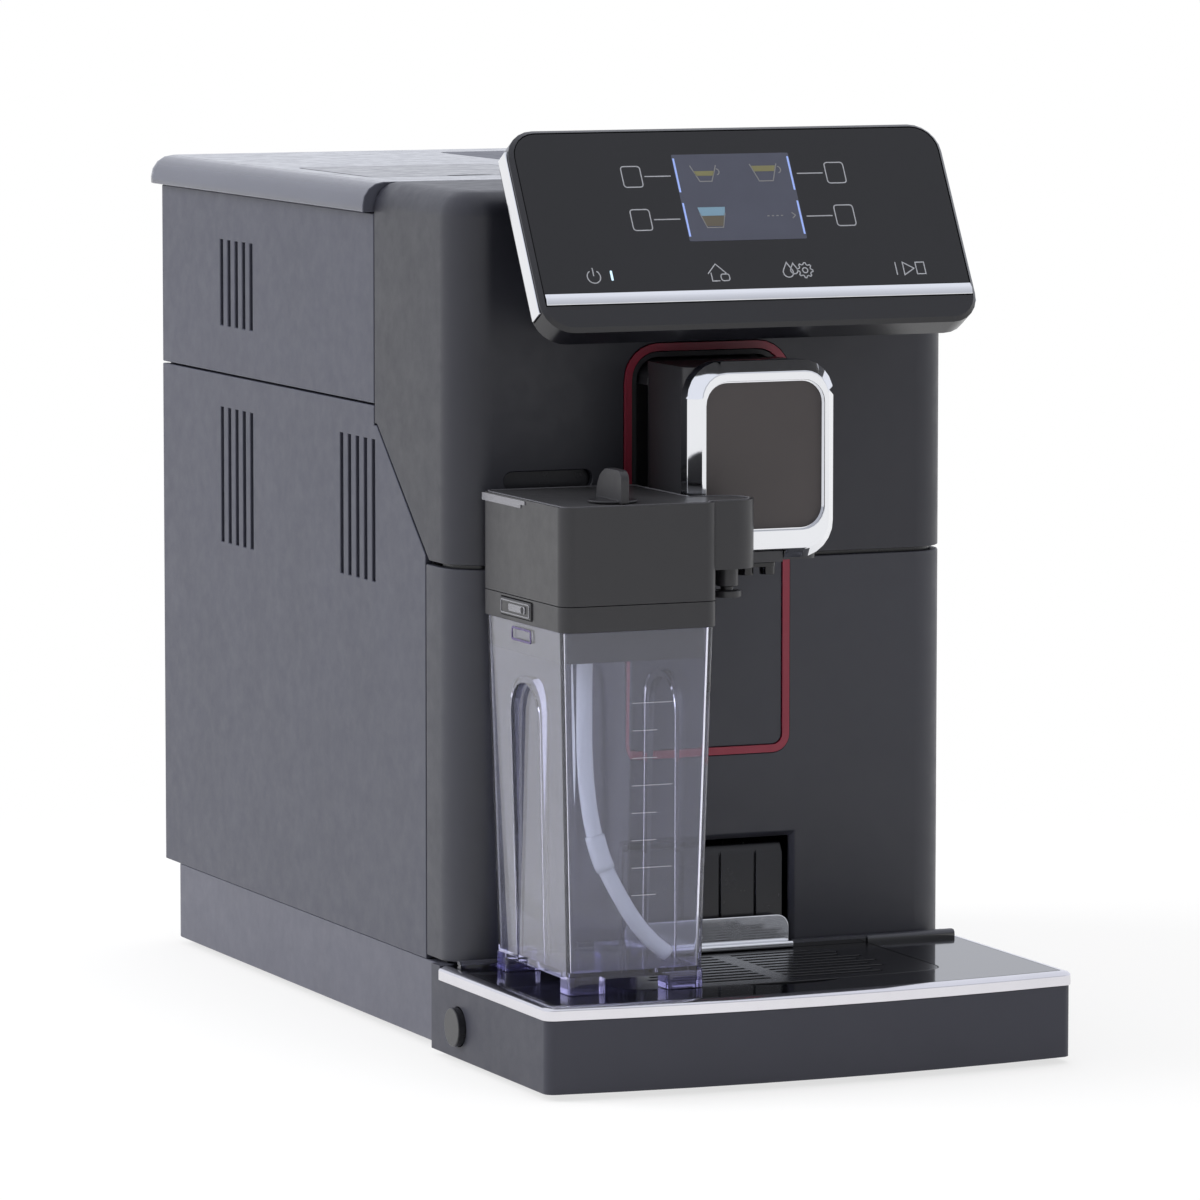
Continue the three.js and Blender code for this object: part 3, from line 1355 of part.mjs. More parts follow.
// Grinder: a motor case on the shelf, with a burr that spins in its top chamber
function grinderCase() {
  const foot = shelfHeight + wall + seatGap
  const chamberFloor = grinderTop - grinderCaseDepth
  const neck = grinderRadius * grinderNeckShare
  const body = turned([
    [0, foot], [grinderRadius, foot], [grinderRadius, foot + overrun], [neck, foot + 2 * overrun],
    [neck, chamberFloor - overrun], [grinderRadius, chamberFloor], [grinderRadius, grinderTop], [0, grinderTop],
  ], grinderX, grinderY, 0, 24)
  const chamber = rod(burrRadius + runGap, grinderX, grinderY, chamberFloor, grinderTop + overrun, 24)
  const lowerBore = rod(burrShaft + runGap / 2, grinderX, grinderY, chamberFloor - burrHeight, chamberFloor + overrun, 12)
  return cut(body, chamber, lowerBore)
}
place('grinder_case', grinderCase(), steel)
function grinderBurr() {
  const foot = burrFoot
  const cone = turned([
    [0, foot - burrHeight / 2], [burrShaft, foot - burrHeight / 2], [burrShaft, foot], [burrRadius, foot],
    [burrRadius, foot + burrHeight / 4], [burrRadius / 2, foot + burrHeight], [0, foot + burrHeight],
  ], grinderX, grinderY, 0, 24)
  const teeth = Array.from({ length: burrToothCount }, (_, i) => {
    const flute = new THREE.BoxGeometry(burrRadius * 2, thinWall, burrHeight)
    flute.translate(burrRadius + burrShaft, 0, 0).rotateY(-burrLean)
    flute.rotateZ(i / burrToothCount * 2 * Math.PI).translate(grinderX, grinderY, foot + burrHeight)
    return solid(flute)
  })
  return cut(cone, ...teeth)
}
place('grinder_burr', grinderBurr(), steel)

// Brew group: a block with a chamber, and the plunger that presses the coffee
const brewX = (brewLeft + brewRight) / 2
const brewY = (brewRear - brewFront) / 2
function brewGroup() {
  const foot = deckTop + seatGap
  const body = prismZ(outline(brewLeft, brewRight, -brewFront, brewRear, lidRound), foot, brewTop)
  const bore = rod(brewBore, brewX, brewY, foot + brewFloor, brewTop + overrun, 24)
  const sideCut = block(brewRight - brewFloor, brewRight + overrun, -brewFront - overrun, brewRear + overrun,
    brewTop - brewFloor, brewTop + overrun)
  return cut(body, bore, sideCut)
}
place('brew_group', brewGroup(), darkPlastic)
function brewPlunger() {
  const foot = deckTop + seatGap + brewFloor + seatGap
  return turned([
    [0, foot], [plungerHead, foot], [plungerHead, foot + plungerHeadHeight], [plungerRod, foot + plungerHeadHeight],
    [plungerRod, brewTop + overrun], [0, brewTop + overrun],
  ], brewX, brewY, 0, 20)
}
place('brew_plunger', brewPlunger(), whitePlastic)

// Boiler: a finned drum bolted behind the front plate
function boiler() {
  const start = 0
  const profile = [[0, start], [boilerRadius, start]]
  const pitch = boilerLength / boilerFinCount
  for (let i = 0; i < boilerFinCount; i += 1) {
    const y = i * pitch
    profile.push([boilerRadius, y + boilerFinWidth], [boilerRadius - boilerFinDepth, y + boilerFinWidth])
    profile.push([boilerRadius - boilerFinDepth, y + pitch], [boilerRadius, y + pitch])
  }
  profile.push([boilerRadius, boilerLength + boilerFinWidth], [0, boilerLength + boilerFinWidth])
  const y = frontY + 2 * wall + 2 * seatGap
  return turnedToRear(profile, boilerX, y, boilerHeight, 18)
}
place('boiler', boiler(), steel)

// Pump: a drum with a neck at each end, on a foot block
function waterPump() {
  const foot = deckTop + seatGap
  const height = foot + pumpRadius + thinWall
  const half = pumpLength / 2
  const drum = turnedToRear([
    [0, -half - pumpNeckLength], [pumpNeck, -half - pumpNeckLength], [pumpNeck, -half], [pumpRadius, -half],
    [pumpRadius, half], [pumpNeck, half], [pumpNeck, half + pumpNeckLength], [0, half + pumpNeckLength],
  ], pumpX, pumpY, height, 24)
  const base = block(pumpX - pumpFootWidth / 2, pumpX + pumpFootWidth / 2, pumpY - half + overrun,
    pumpY + half - overrun, foot, height)
  return join(drum, base)
}
place('water_pump', waterPump(), steel)

// Mains inlet: a socket with three pins, and the rocker switch beside it
function powerInlet() {
  const [halfX, halfZ] = [inletWidth / 2, inletTall / 2]
  const body = block(inletX - halfX, inletX + halfX, sideRearY - inletDepth, sideRearY, inletHeight - halfZ, inletHeight + halfZ)
  const socket = block(inletX - halfX + inletWall, inletX + halfX - inletWall, sideRearY - inletDepth + inletWall,
    sideRearY + overrun, inletHeight - halfZ + inletWall, inletHeight + halfZ - inletWall)
  const pins = [-1, 0, 1].map((step) => {
    const x = inletX + step * inletWidth / 4
    const z = inletHeight + (step === 0 ? inletWall : -inletWall)
    return block(x - inletWall / 2, x + inletWall / 2, sideRearY - inletDepth, sideRearY - inletWall,
      z - inletWall, z + inletWall)
  })
  return join(cut(body, socket), ...pins)
}
place('power_inlet', powerInlet(), darkPlastic)
function powerSwitch() {
  const [halfX, halfZ] = [switchWidth / 2, switchTall / 2]
  const section = polygon([
    [sideRearY - switchDepth, inletHeight - halfZ * rockerShare],
    [sideRearY + switchProud, inletHeight - halfZ],
    [sideRearY + switchProud / 3, inletHeight],
    [sideRearY + switchProud, inletHeight + halfZ],
    [sideRearY - switchDepth, inletHeight + halfZ * rockerShare],
  ])
  return prismX(section, switchX - halfX, switchX + halfX)
}
place('power_switch', powerSwitch(), glossBlack)

export default machine
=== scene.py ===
# Looks of a bean to cup coffee machine with a milk carafe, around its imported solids.
# Units are metres, +Z is up and the front faces -Y.
import math

import bmesh
import bpy
from mathutils import Matrix, Vector


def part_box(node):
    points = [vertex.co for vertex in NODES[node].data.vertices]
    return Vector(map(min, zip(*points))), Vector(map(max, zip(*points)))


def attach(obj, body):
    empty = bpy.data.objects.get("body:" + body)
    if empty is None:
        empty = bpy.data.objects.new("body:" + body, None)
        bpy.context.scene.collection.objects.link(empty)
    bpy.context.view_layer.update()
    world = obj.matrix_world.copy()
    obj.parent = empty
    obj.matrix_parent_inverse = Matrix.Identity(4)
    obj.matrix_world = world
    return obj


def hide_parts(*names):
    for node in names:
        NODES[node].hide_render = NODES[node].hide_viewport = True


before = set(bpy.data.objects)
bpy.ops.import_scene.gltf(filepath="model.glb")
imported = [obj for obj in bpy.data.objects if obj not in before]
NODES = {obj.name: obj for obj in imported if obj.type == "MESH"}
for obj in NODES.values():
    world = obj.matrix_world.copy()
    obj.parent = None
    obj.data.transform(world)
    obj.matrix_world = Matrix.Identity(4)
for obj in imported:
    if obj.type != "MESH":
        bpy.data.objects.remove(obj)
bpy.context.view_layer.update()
MM = 0.001


# Camera
TARGET = Vector((-0.04503, -0.11610, 0.175))
YAW, PITCH, ROLL = math.radians(23.26), math.radians(6.19), math.radians(0.02)
DISTANCE = 2.78578
LENS, SENSOR = 217.23, 36


def make_camera():
    data = bpy.data.cameras.new("camera")
    data.lens, data.sensor_width = LENS, SENSOR
    camera = bpy.data.objects.new("camera", data)
    away = Vector((
        -math.sin(YAW) * math.cos(PITCH), -math.cos(YAW) * math.cos(PITCH), math.sin(PITCH),
    ))
    camera.location = TARGET + away * DISTANCE
    turn = (-away).to_track_quat("-Z", "Y").to_matrix() @ Matrix.Rotation(ROLL, 3, "Z")
    camera.rotation_euler = turn.to_euler()
    bpy.context.scene.collection.objects.link(camera)
    bpy.context.scene.camera = camera


make_camera()


# Node materials
BUMP_STRENGTH = 0.35
SCUFF_RANGE = (0.3, 0.7)
SCUFF_DETAIL, SCUFF_ROUGHNESS = 4.0, 0.65
SCUFFS_PER_CLOUD = 5
# Radius, flatness range and brightening of the painted edge highlight
EDGE_HIGHLIGHT_RADIUS, EDGE_HIGHLIGHT_RANGE, EDGE_HIGHLIGHT_SHARE = 0.9 * MM, (0.85, 0.995), 1.6


class Graph:
    """A material's node graph, built call by call."""

    def __init__(self, name):
        self.material = bpy.data.materials.new(name)
        self.material.use_nodes = True
        self.tree = self.material.node_tree
        self.shader = self.tree.nodes["Principled BSDF"]
        self.place = self.add("ShaderNodeTexCoord").outputs["Object"]

    def add(self, kind, inputs=None, **values):
        node = self.tree.nodes.new(kind)
        for key, value in values.items():
            setattr(node, key, value)
        for key, value in (inputs or {}).items():
            if isinstance(value, bpy.types.NodeSocket):
                self.tree.links.new(value, node.inputs[key])
            else:
                node.inputs[key].default_value = value
        return node

    def set(self, **values):
        for key, value in values.items():
            socket = self.shader.inputs[key.replace("_", " ")]
            if isinstance(value, bpy.types.NodeSocket):
                self.tree.links.new(value, socket)
            else:
                socket.default_value = value

    def noise(self, scale, detail, rough=0.5):
        return self.add(
            "ShaderNodeTexNoise",
            {"Vector": self.place, "Scale": scale, "Detail": detail, "Roughness": rough},
        ).outputs["Fac"]

    def remap(self, value, low, high, start=0.0, end=1.0):
        return self.add(
            "ShaderNodeMapRange",
            {"Value": value, "From Min": start, "From Max": end, "To Min": low, "To Max": high},
        ).outputs["Result"]

    def mixed(self, factor, a, b):
        node = self.add("ShaderNodeMix", data_type="RGBA")
        for index, value in ((0, factor), (6, a), (7, b)):
            if isinstance(value, bpy.types.NodeSocket):
                self.tree.links.new(value, node.inputs[index])
            else:
                node.inputs[index].default_value = value
        return node.outputs[2]

    def bump(self, height, distance):
        return self.add(
            "ShaderNodeBump", {"Height": height, "Strength": BUMP_STRENGTH, "Distance": distance}
        ).outputs["Normal"]

    def height(self):
        return self.add("ShaderNodeSeparateXYZ", {0: self.place}).outputs["Z"]

    def flatness(self, radius):
        """1 on a flat face, and less the closer an edge is within the radius."""
        rounded_normal = self.add("ShaderNodeBevel", {"Radius": radius}, samples=4).outputs["Normal"]
        own = self.add("ShaderNodeNewGeometry").outputs["Normal"]
        return self.add(
            "ShaderNodeVectorMath", {0: rounded_normal, 1: own}, operation="DOT_PRODUCT"
        ).outputs["Value"]


def shade(color, share):
    return (*(min(1.0, part * share) for part in color), 1.0)


def surface(name, color, rough, vary=0.08, cloud=28.0, grain=1500.0, depth=0.03, spread=0.05,
            edge=0.0, **values):
    """Colour clouding, uneven gloss, fine grain and lighter edges on one shader, the lighter edges
    being a painted highlight.

    The scales cloud and grain are in cycles per metre, and the grain's depth is in millimetres.
    """
    graph = Graph(name)
    clouds = graph.noise(cloud, 3.0)
    tone = graph.mixed(clouds, shade(color, 1 - vary), shade(color, 1 + vary))
    if edge:
        # Colour lightened near edges found by the bevel test: painted edge highlight
        painted_edge_highlight = graph.remap(graph.flatness(EDGE_HIGHLIGHT_RADIUS), edge, 0.0, *EDGE_HIGHLIGHT_RANGE)
        tone = graph.mixed(painted_edge_highlight, tone, shade(color, EDGE_HIGHLIGHT_SHARE))
    graph.set(Base_Color=tone, **values)
    scuffs = graph.noise(cloud * SCUFFS_PER_CLOUD, SCUFF_DETAIL, SCUFF_ROUGHNESS)
    graph.set(Roughness=graph.remap(scuffs, rough - spread, rough + spread, *SCUFF_RANGE))
    if depth:
        graph.set(Normal=graph.bump(graph.noise(grain, 2.0), depth * MM))
    return graph.material


# Heights between which the carafe's leg tint fades out
LEGS, LEGS_END = 38 * MM, 50 * MM
CLEAR_TINT, CLOUD_TINT = (0.855, 0.865, 0.985, 1.0), (0.80, 0.81, 0.97, 1.0)
LEG_TINT, EDGE_TINT = (0.42, 0.39, 0.76, 1.0), (0.55, 0.50, 0.90, 1.0)


def clear_plastic():
    """Clear tub whose tint deepens towards its legs and along its edges."""
    graph = Graph("clear")
    tint = graph.mixed(graph.remap(graph.height(), 1.0, 0.0, LEGS, LEGS_END), CLEAR_TINT, LEG_TINT)
    tint = graph.mixed(graph.remap(graph.noise(60, 2.0), 0.0, 0.12), tint, CLOUD_TINT)
    tint = graph.mixed(graph.remap(graph.flatness(1.2 * MM), 0.55, 0.0, 0.8, 0.99), tint, EDGE_TINT)
    graph.set(Base_Color=tint, Transmission_Weight=0.978, IOR=1.49)
    graph.set(Roughness=graph.remap(graph.noise(140, 3.0), 0.015, 0.045, *SCUFF_RANGE))
    return graph.material


COVER_TOP, RIDGE_BLEND = 37.0 * MM, 0.4 * MM
COVER_BLACK, RIDGE_GREY = (0.004, 0.004, 0.006, 1.0), (0.038, 0.039, 0.052, 1.0)
RIDGE_BLUR = 0.4


def tray_gloss():
    """Mirror-like tray cover whose raised ridge is satin like the casing."""
    graph = Graph("tray_cover")
    ridge = graph.remap(graph.height(), 0.0, 1.0, COVER_TOP, COVER_TOP + RIDGE_BLEND)
    graph.set(Base_Color=graph.mixed(ridge, COVER_BLACK, RIDGE_GREY), IOR=1.72)
    scuffs = graph.noise(140, SCUFF_DETAIL, SCUFF_ROUGHNESS)
    clean = graph.remap(scuffs, 0.05, 0.09, *SCUFF_RANGE)
    blur = graph.add("ShaderNodeMath", {0: ridge, 1: RIDGE_BLUR}, operation="MULTIPLY").outputs[0]
    graph.set(Roughness=graph.add("ShaderNodeMath", {0: clean, 1: blur}).outputs[0])
    return graph.material


CHARCOAL, DARK, GREY = (0.045, 0.047, 0.067), (0.014, 0.0142, 0.0175), (0.022, 0.0216, 0.0245)
# Finish of each material slot
SHADES = {
    "charcoal_plastic": surface("charcoal", CHARCOAL, 0.46, edge=0.35),
    "dark_plastic": surface("dark_satin", DARK, 0.26, edge=0.25, depth=0.004, spread=0.02),
    "carafe_grey": surface("carafe_grey", GREY, 0.36, edge=0.3),
    "gloss_black": surface(
        "gloss_black", (0.004, 0.004, 0.006), 0.07, depth=0, spread=0.02, vary=0.2,
    ),
    "chrome_trim": surface(
        "chrome", (0.80, 0.81, 0.84), 0.07, vary=0.03, spread=0.03, grain=400, depth=0.004,
        Metallic=1.0,
    ),
    "red_plastic": surface("red", (0.26, 0.016, 0.040), 0.36, edge=0.2),
    "brown_plastic": surface("brown_plate", (0.056, 0.047, 0.047), 0.42, grain=2200),
    "clear_plastic": clear_plastic(),
    "smoked_plastic": surface(
        "smoked", (0.20, 0.20, 0.22), 0.12, vary=0.05, depth=0, Transmission_Weight=0.75, IOR=1.46,
    ),
    "silicone_hose": surface(
        "silicone", (0.95, 1.0, 1.0), 0.2, vary=0.03, spread=0.0, depth=0, Transmission_Weight=0.35,
        IOR=1.4,
    ),
    "foot_rubber": surface("rubber", (0.022, 0.022, 0.024), 0.72, grain=900, depth=0.06),
    "bare_metal": surface(
        "cast_metal", (0.55, 0.55, 0.57), 0.36, vary=0.1, grain=700, depth=0.08, Metallic=1.0,
    ),
    "white_plastic": surface("white_plastic", (0.66, 0.65, 0.62), 0.45),
    "screen_blue": surface("screen_back", (0.10, 0.12, 0.18), 0.20),
}

# Finishes of the pieces that are made here
EXTRAS = {
    "ink": surface("printed_ink", (0.42, 0.43, 0.47), 0.5, vary=0.05, depth=0),
    "screen": surface("screen_glow", (0.068, 0.073, 0.107), 0.16, vary=0.14, cloud=60, depth=0),
    "bars": surface(
        "screen_bars", (0.30, 0.40, 0.75), 0.3, depth=0, Emission_Color=(0.25, 0.36, 0.85, 1.0),
        Emission_Strength=0.35,
    ),
    "status": surface(
        "status_light", (0.60, 0.78, 0.90), 0.3, depth=0, Emission_Color=(0.55, 0.80, 1.0, 1.0),
        Emission_Strength=0.6,
    ),
    "drink": surface("drink_gold", (0.20, 0.19, 0.09), 0.4, depth=0),
    "brew": surface("drink_brown", (0.11, 0.095, 0.07), 0.4, depth=0),
    "foam": surface("drink_foam", (0.20, 0.33, 0.44), 0.4, depth=0),
    "glassware": surface("cup_lines", (0.21, 0.21, 0.22), 0.4, depth=0),
    # Lighter grey for the lid's bead and edge strip and the latch frames and lugs: painted highlight
    "bead": surface("bead_painted_highlight", (0.16, 0.16, 0.18), 0.22, depth=0.01),
    # Near-black disc for the latch dimples: painted shade of their hollows
    "dimple": surface("dimple_painted_shade", (0.012, 0.012, 0.014), 0.6),
    "level": surface("level_lines", (0.46, 0.46, 0.53), 0.4, depth=0),
    "violet": surface("violet_edge", (0.055, 0.035, 0.13), 0.25, depth=0),
}

# Nodes whose finish differs from that of their slot; some are lighter or darker copies of the casing's
# colour, painted light and shade
FINISHES = {
    # Lighter copy of the casing's charcoal for the top cover: painted light on its top
    "top_cover": surface("cover_painted_light", (0.076, 0.079, 0.102), 0.15, edge=0.35, depth=0.006),
    # Lighter copy of the casing's charcoal for the plinth: painted light
    "base_plinth": surface("plinth_painted_light", (0.078, 0.080, 0.108), 0.44, edge=0.35),
    # Darker copy of the casing's charcoal for the shell under the panel: painted shade
    "upper_front_shell": surface("shell_painted_shade", (0.018, 0.0185, 0.026), 0.42, edge=0.35),
    # Darker copy of the casing's charcoal for the front panel: painted shade
    "lower_front_panel": surface("front_painted_shade", (0.031, 0.032, 0.043), 0.44, edge=0.35),
    "drip_tray": surface(
        "tray_satin", (0.047, 0.048, 0.063), 0.46, edge=0.35, Specular_IOR_Level=0.28,
    ),
    "tray_cover": tray_gloss(),
    "tray_rim": surface(
        "rim_satin", (0.71, 0.70, 0.74), 0.13, vary=0.06, cloud=40, grain=400, depth=0.004,
        Metallic=1.0,
    ),
    "control_housing": surface(
        "console_satin", (0.009, 0.009, 0.012), 0.24, edge=0.25, depth=0, spread=0.012,
    ),
    "cup_grille": surface(
        "grille_satin", (0.008, 0.008, 0.010), 0.24, edge=0.2, depth=0, spread=0.02,
    ),
    "spout_head": surface("head_satin", (0.034, 0.034, 0.039), 0.32, depth=0, spread=0.012),
    "spout_channel": surface("channel_plastic", (0.017, 0.017, 0.020), 0.5, depth=0.01),
    # Lighter than the lid's grey sides, for its top face: painted light
    "carafe_top_plate": surface("lid_top_painted_light", (0.045, 0.045, 0.049), 0.36, depth=0.01),
    "hopper_lid": surface("bean_lid", (0.045, 0.046, 0.058), 0.2, depth=0.01),
}

WELD_DISTANCE = 0.01 * MM
FLAT_ANGLE, BEVEL_ANGLE, SPLIT_ANGLE = math.radians(0.6), math.radians(40), math.radians(34)
BEVEL_SEGMENTS = 3
# Bevel widths in millimetres, by material slot
BEVELS = {
    "charcoal_plastic": 0.5, "dark_plastic": 0.4, "carafe_grey": 0.4, "gloss_black": 0.3,
    "chrome_trim": 0.3, "brown_plastic": 0.25, "red_plastic": 0.15,
}


def add_weld(piece):
    piece.modifiers.new("weld", "WELD").merge_threshold = WELD_DISTANCE


def dress(node):
    """Material and softened edges of a carried-over solid, whose mesh stays as it is."""
    mesh = node.data
    slot = mesh.materials[0].name.split(".")[0]
    mesh.materials[0] = FINISHES.get(node.name, SHADES[slot])
    for polygon in mesh.polygons:
        polygon.use_smooth = True
    if "custom_normal" in mesh.attributes:
        mesh.attributes.remove(mesh.attributes["custom_normal"])
    add_weld(node)
    if slot in BEVELS:
        flat = node.modifiers.new("flat", "DECIMATE")
        flat.decimate_type = "DISSOLVE"
        flat.angle_limit = FLAT_ANGLE
        bevel = node.modifiers.new("bevel", "BEVEL")
        bevel.width = BEVELS[slot] * MM
        bevel.segments = BEVEL_SEGMENTS
        bevel.limit_method = "ANGLE"
        bevel.angle_limit = BEVEL_ANGLE
    node.modifiers.new("split", "EDGE_SPLIT").split_angle = SPLIT_ANGLE
    node.modifiers.new("normals", "WEIGHTED_NORMAL").keep_sharp = True


for solid in NODES.values():
    dress(solid)


# Suction hose, on the route that its solid has
HOSE_ROUTE = (
    (-75.8, -173.8, 182.2), (-75.8, -173.8, 174), (-76, -173.8, 165), (-76.4, -173.8, 156.6),
    (-76.6, -173.9, 141.6), (-76.7, -174.3, 126.3), (-76.3, -175.6, 111.1), (-75.1, -177.6, 97.9),
    (-72.1, -179.6, 84.6), (-66.6, -181.4, 72.3), (-60, -182.8, 61), (-53.5, -183.6, 53.2),
    (-46.8, -183.8, 47.6),
)
HOSE_RADIUS, HOSE_WALL, HOSE_SIDES = 3.1 * MM, 1.2 * MM, 20
HOSE_STEPS = 6
SLEEVE_FOOT, SLEEVE_TOP = 80 * MM, 95.5 * MM
SLEEVE_WALL, SLEEVE_GAP = 0.7 * MM, 0.02 * MM


def smooth_route(points, steps):
    """Points of a centripetal curve through the given ones, which are in millimetres."""
    points = [Vector(p) * MM for p in points]
    ends = [2 * points[0] - points[1], *points, 2 * points[-1] - points[-2]]
    found = []
    for i in range(1, len(ends) - 2):
        p0, p1, p2, p3 = ends[i - 1:i + 3]
        t0 = 0.0
        t1 = t0 + (p1 - p0).length ** 0.5
        t2 = t1 + (p2 - p1).length ** 0.5
        t3 = t2 + (p3 - p2).length ** 0.5
        for k in range(steps):
            t = t1 + (t2 - t1) * k / steps
            a1 = p0.lerp(p1, (t - t0) / (t1 - t0))
            a2 = p1.lerp(p2, (t - t1) / (t2 - t1))
            a3 = p2.lerp(p3, (t - t2) / (t3 - t2))
            b1 = a1.lerp(a2, (t - t0) / (t2 - t0))
            b2 = a2.lerp(a3, (t - t1) / (t3 - t1))
            found.append(b1.lerp(b2, (t - t1) / (t2 - t1)))
    found.append(points[-1].copy())
    return found


def new_piece(name, verts, faces, material, body, slot, smooth=False):
    mesh = bpy.data.meshes.new(name)
    mesh.from_pydata([tuple(v) for v in verts], [], faces)
    mesh.validate()
    work = bmesh.new()
    work.from_mesh(mesh)
    bmesh.ops.recalc_face_normals(work, faces=work.faces)
    work.to_mesh(mesh)
    work.free()
    for polygon in mesh.polygons:
        polygon.use_smooth = smooth
    mesh.materials.append(material)
    piece = bpy.data.objects.new(name, mesh)
    bpy.context.scene.collection.objects.link(piece)
    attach(piece, body)
    return piece


def tube(route, outer, inner, sides):
    """A hollow tube: outer and inner skins joined at both ends."""
    rings, verts, faces = [], [], []
    side = Vector((0, 1, 0))
    for i, point in enumerate(route):
        ahead = (route[min(i + 1, len(route) - 1)] - route[max(i - 1, 0)]).normalized()
        side = (side - ahead * side.dot(ahead)).normalized()
        up = ahead.cross(side)
        rings.append((point, side.copy(), up))
    count = len(rings)
    for radius in (outer, inner):
        for point, side, up in rings:
            for k in range(sides):
                angle = 2 * math.pi * k / sides
                verts.append(point + (side * math.cos(angle) + up * math.sin(angle)) * radius)
    for skin in range(2):
        for i in range(count - 1):
            for k in range(sides):
                a = (skin * count + i) * sides + k
                b = (skin * count + i) * sides + (k + 1) % sides
                faces.append((a, b, b + sides, a + sides))
    for i in (0, count - 1):
        for k in range(sides):
            a, b = i * sides + k, i * sides + (k + 1) % sides
            faces.append((a, b, count * sides + b, count * sides + a))
    return verts, faces


hose_line = smooth_route(HOSE_ROUTE, HOSE_STEPS)
hose = new_piece(
    "milk_hose", *tube(hose_line, HOSE_RADIUS, HOSE_RADIUS - HOSE_WALL, HOSE_SIDES),
    SHADES["silicone_hose"], "frothing_lid", "silicone_hose", smooth=True,
)
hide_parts("suction_hose")
sleeve_line = [point for point in hose_line if SLEEVE_FOOT <= point.z <= SLEEVE_TOP]
sleeve = new_piece(
    "hose_sleeve", *tube(sleeve_line, HOSE_RADIUS + SLEEVE_WALL, HOSE_RADIUS + SLEEVE_GAP, HOSE_SIDES),
    SHADES["silicone_hose"], "frothing_lid", "silicone_hose", smooth=True,
)


# Flat marks and beads: thin closed solids laid on a face by a placing function, in millimetres
def prism(outline, place, front, back):
    count = len(outline)
    verts = [place(*point, front) for point in outline] + [place(*point, back) for point in outline]
    faces = [tuple(range(count)), tuple(reversed(range(count, 2 * count)))]
    for i in range(count):
        j = (i + 1) % count
        faces.append((i, j, count + j, count + i))
    return verts, faces


MITRE_LIMIT = 0.5


def ribbon(points, width, place, front, back, closed=False):
    """A band of even width along a flat line, with its corners mitred."""
    count = len(points)
    sides = []
    for i, point in enumerate(points):
        before = points[i - 1] if closed or i else None
        after = points[(i + 1) % count] if closed or i < count - 1 else None
        leads = []
        for a, b in ((before, point), (point, after)):
            if a is not None and b is not None:
                reach = math.hypot(b[0] - a[0], b[1] - a[1])
                leads.append(((b[0] - a[0]) / reach, (b[1] - a[1]) / reach))
        x = sum(lead[0] for lead in leads)
        y = sum(lead[1] for lead in leads)
        reach = math.hypot(x, y)
        x, y = x / reach, y / reach
        grow = width / 2 / max(MITRE_LIMIT, x * leads[0][0] + y * leads[0][1])
        sides.append([(point[0] - y * side * grow, point[1] + x * side * grow) for side in (1, -1)])
    verts = [place(*point, depth) for depth in (front, back) for pair in sides for point in pair]
    faces, deep = [], 2 * count
    for i in range(count if closed else count - 1):
        j = (i + 1) % count
        a, b, c, d = 2 * i, 2 * i + 1, 2 * j + 1, 2 * j
        faces += [(a, b, c, d), (deep + d, deep + c, deep + b, deep + a)]
        faces += [(a, d, deep + d, deep + a), (c, b, deep + b, deep + c)]
    if not closed:
        last = 2 * count - 2
        faces += [(0, deep, deep + 1, 1), (last, last + 1, deep + last + 1, deep + last)]
    return verts, faces


def gather(*shapes):
    verts, faces = [], []
    for some_verts, some_faces in shapes:
        base = len(verts)
        verts += some_verts
        faces += [tuple(base + i for i in face) for face in some_faces]
    return verts, faces


def arc(x, y, radius, start, end, steps=8):
    turns = [math.radians(start + (end - start) * i / steps) for i in range(steps + 1)]
    return [(x + radius * math.cos(turn), y + radius * math.sin(turn)) for turn in turns]


def rounded(x0, x1, y0, y1, radius, steps=4):
    """A rectangle with round corners, from its right upper corner round to the right lower one."""
    left, right, low, high = x0 + radius, x1 - radius, y0 + radius, y1 - radius
    points = []
    for turn, (x, y) in enumerate(((right, high), (left, high), (left, low), (right, low))):
        points += arc(x, y, radius, 90 * turn, 90 * turn + 90, steps)
    return points


# Control panel: points are given to the right and down the slab
PANEL_TOP, PANEL_TILT = (0, -0.13025, 0.357), math.radians(-29.7)
PANEL = Matrix.Translation(PANEL_TOP) @ Matrix.Rotation(PANEL_TILT, 4, "X")
LIFT, SCREEN_LIFT, BAR_LIFT, SINK = -0.10, -0.15, -0.16, 0.08
INK_WIDTH, CUP_WIDTH, BAR_WIDTH = 0.42, 0.45, 0.75
GEAR_TEETH, TOOTH_TIP, TOOTH_ROOT = 8, 3.2, 2.45


def on_panel(x, drop, depth):
    return PANEL @ (Vector((x, depth, -drop)) * MM)


def panel_lines(lines, width, lift=LIFT):
    return gather(*(ribbon(line, width, on_panel, lift, SINK, closed) for line, closed in lines))


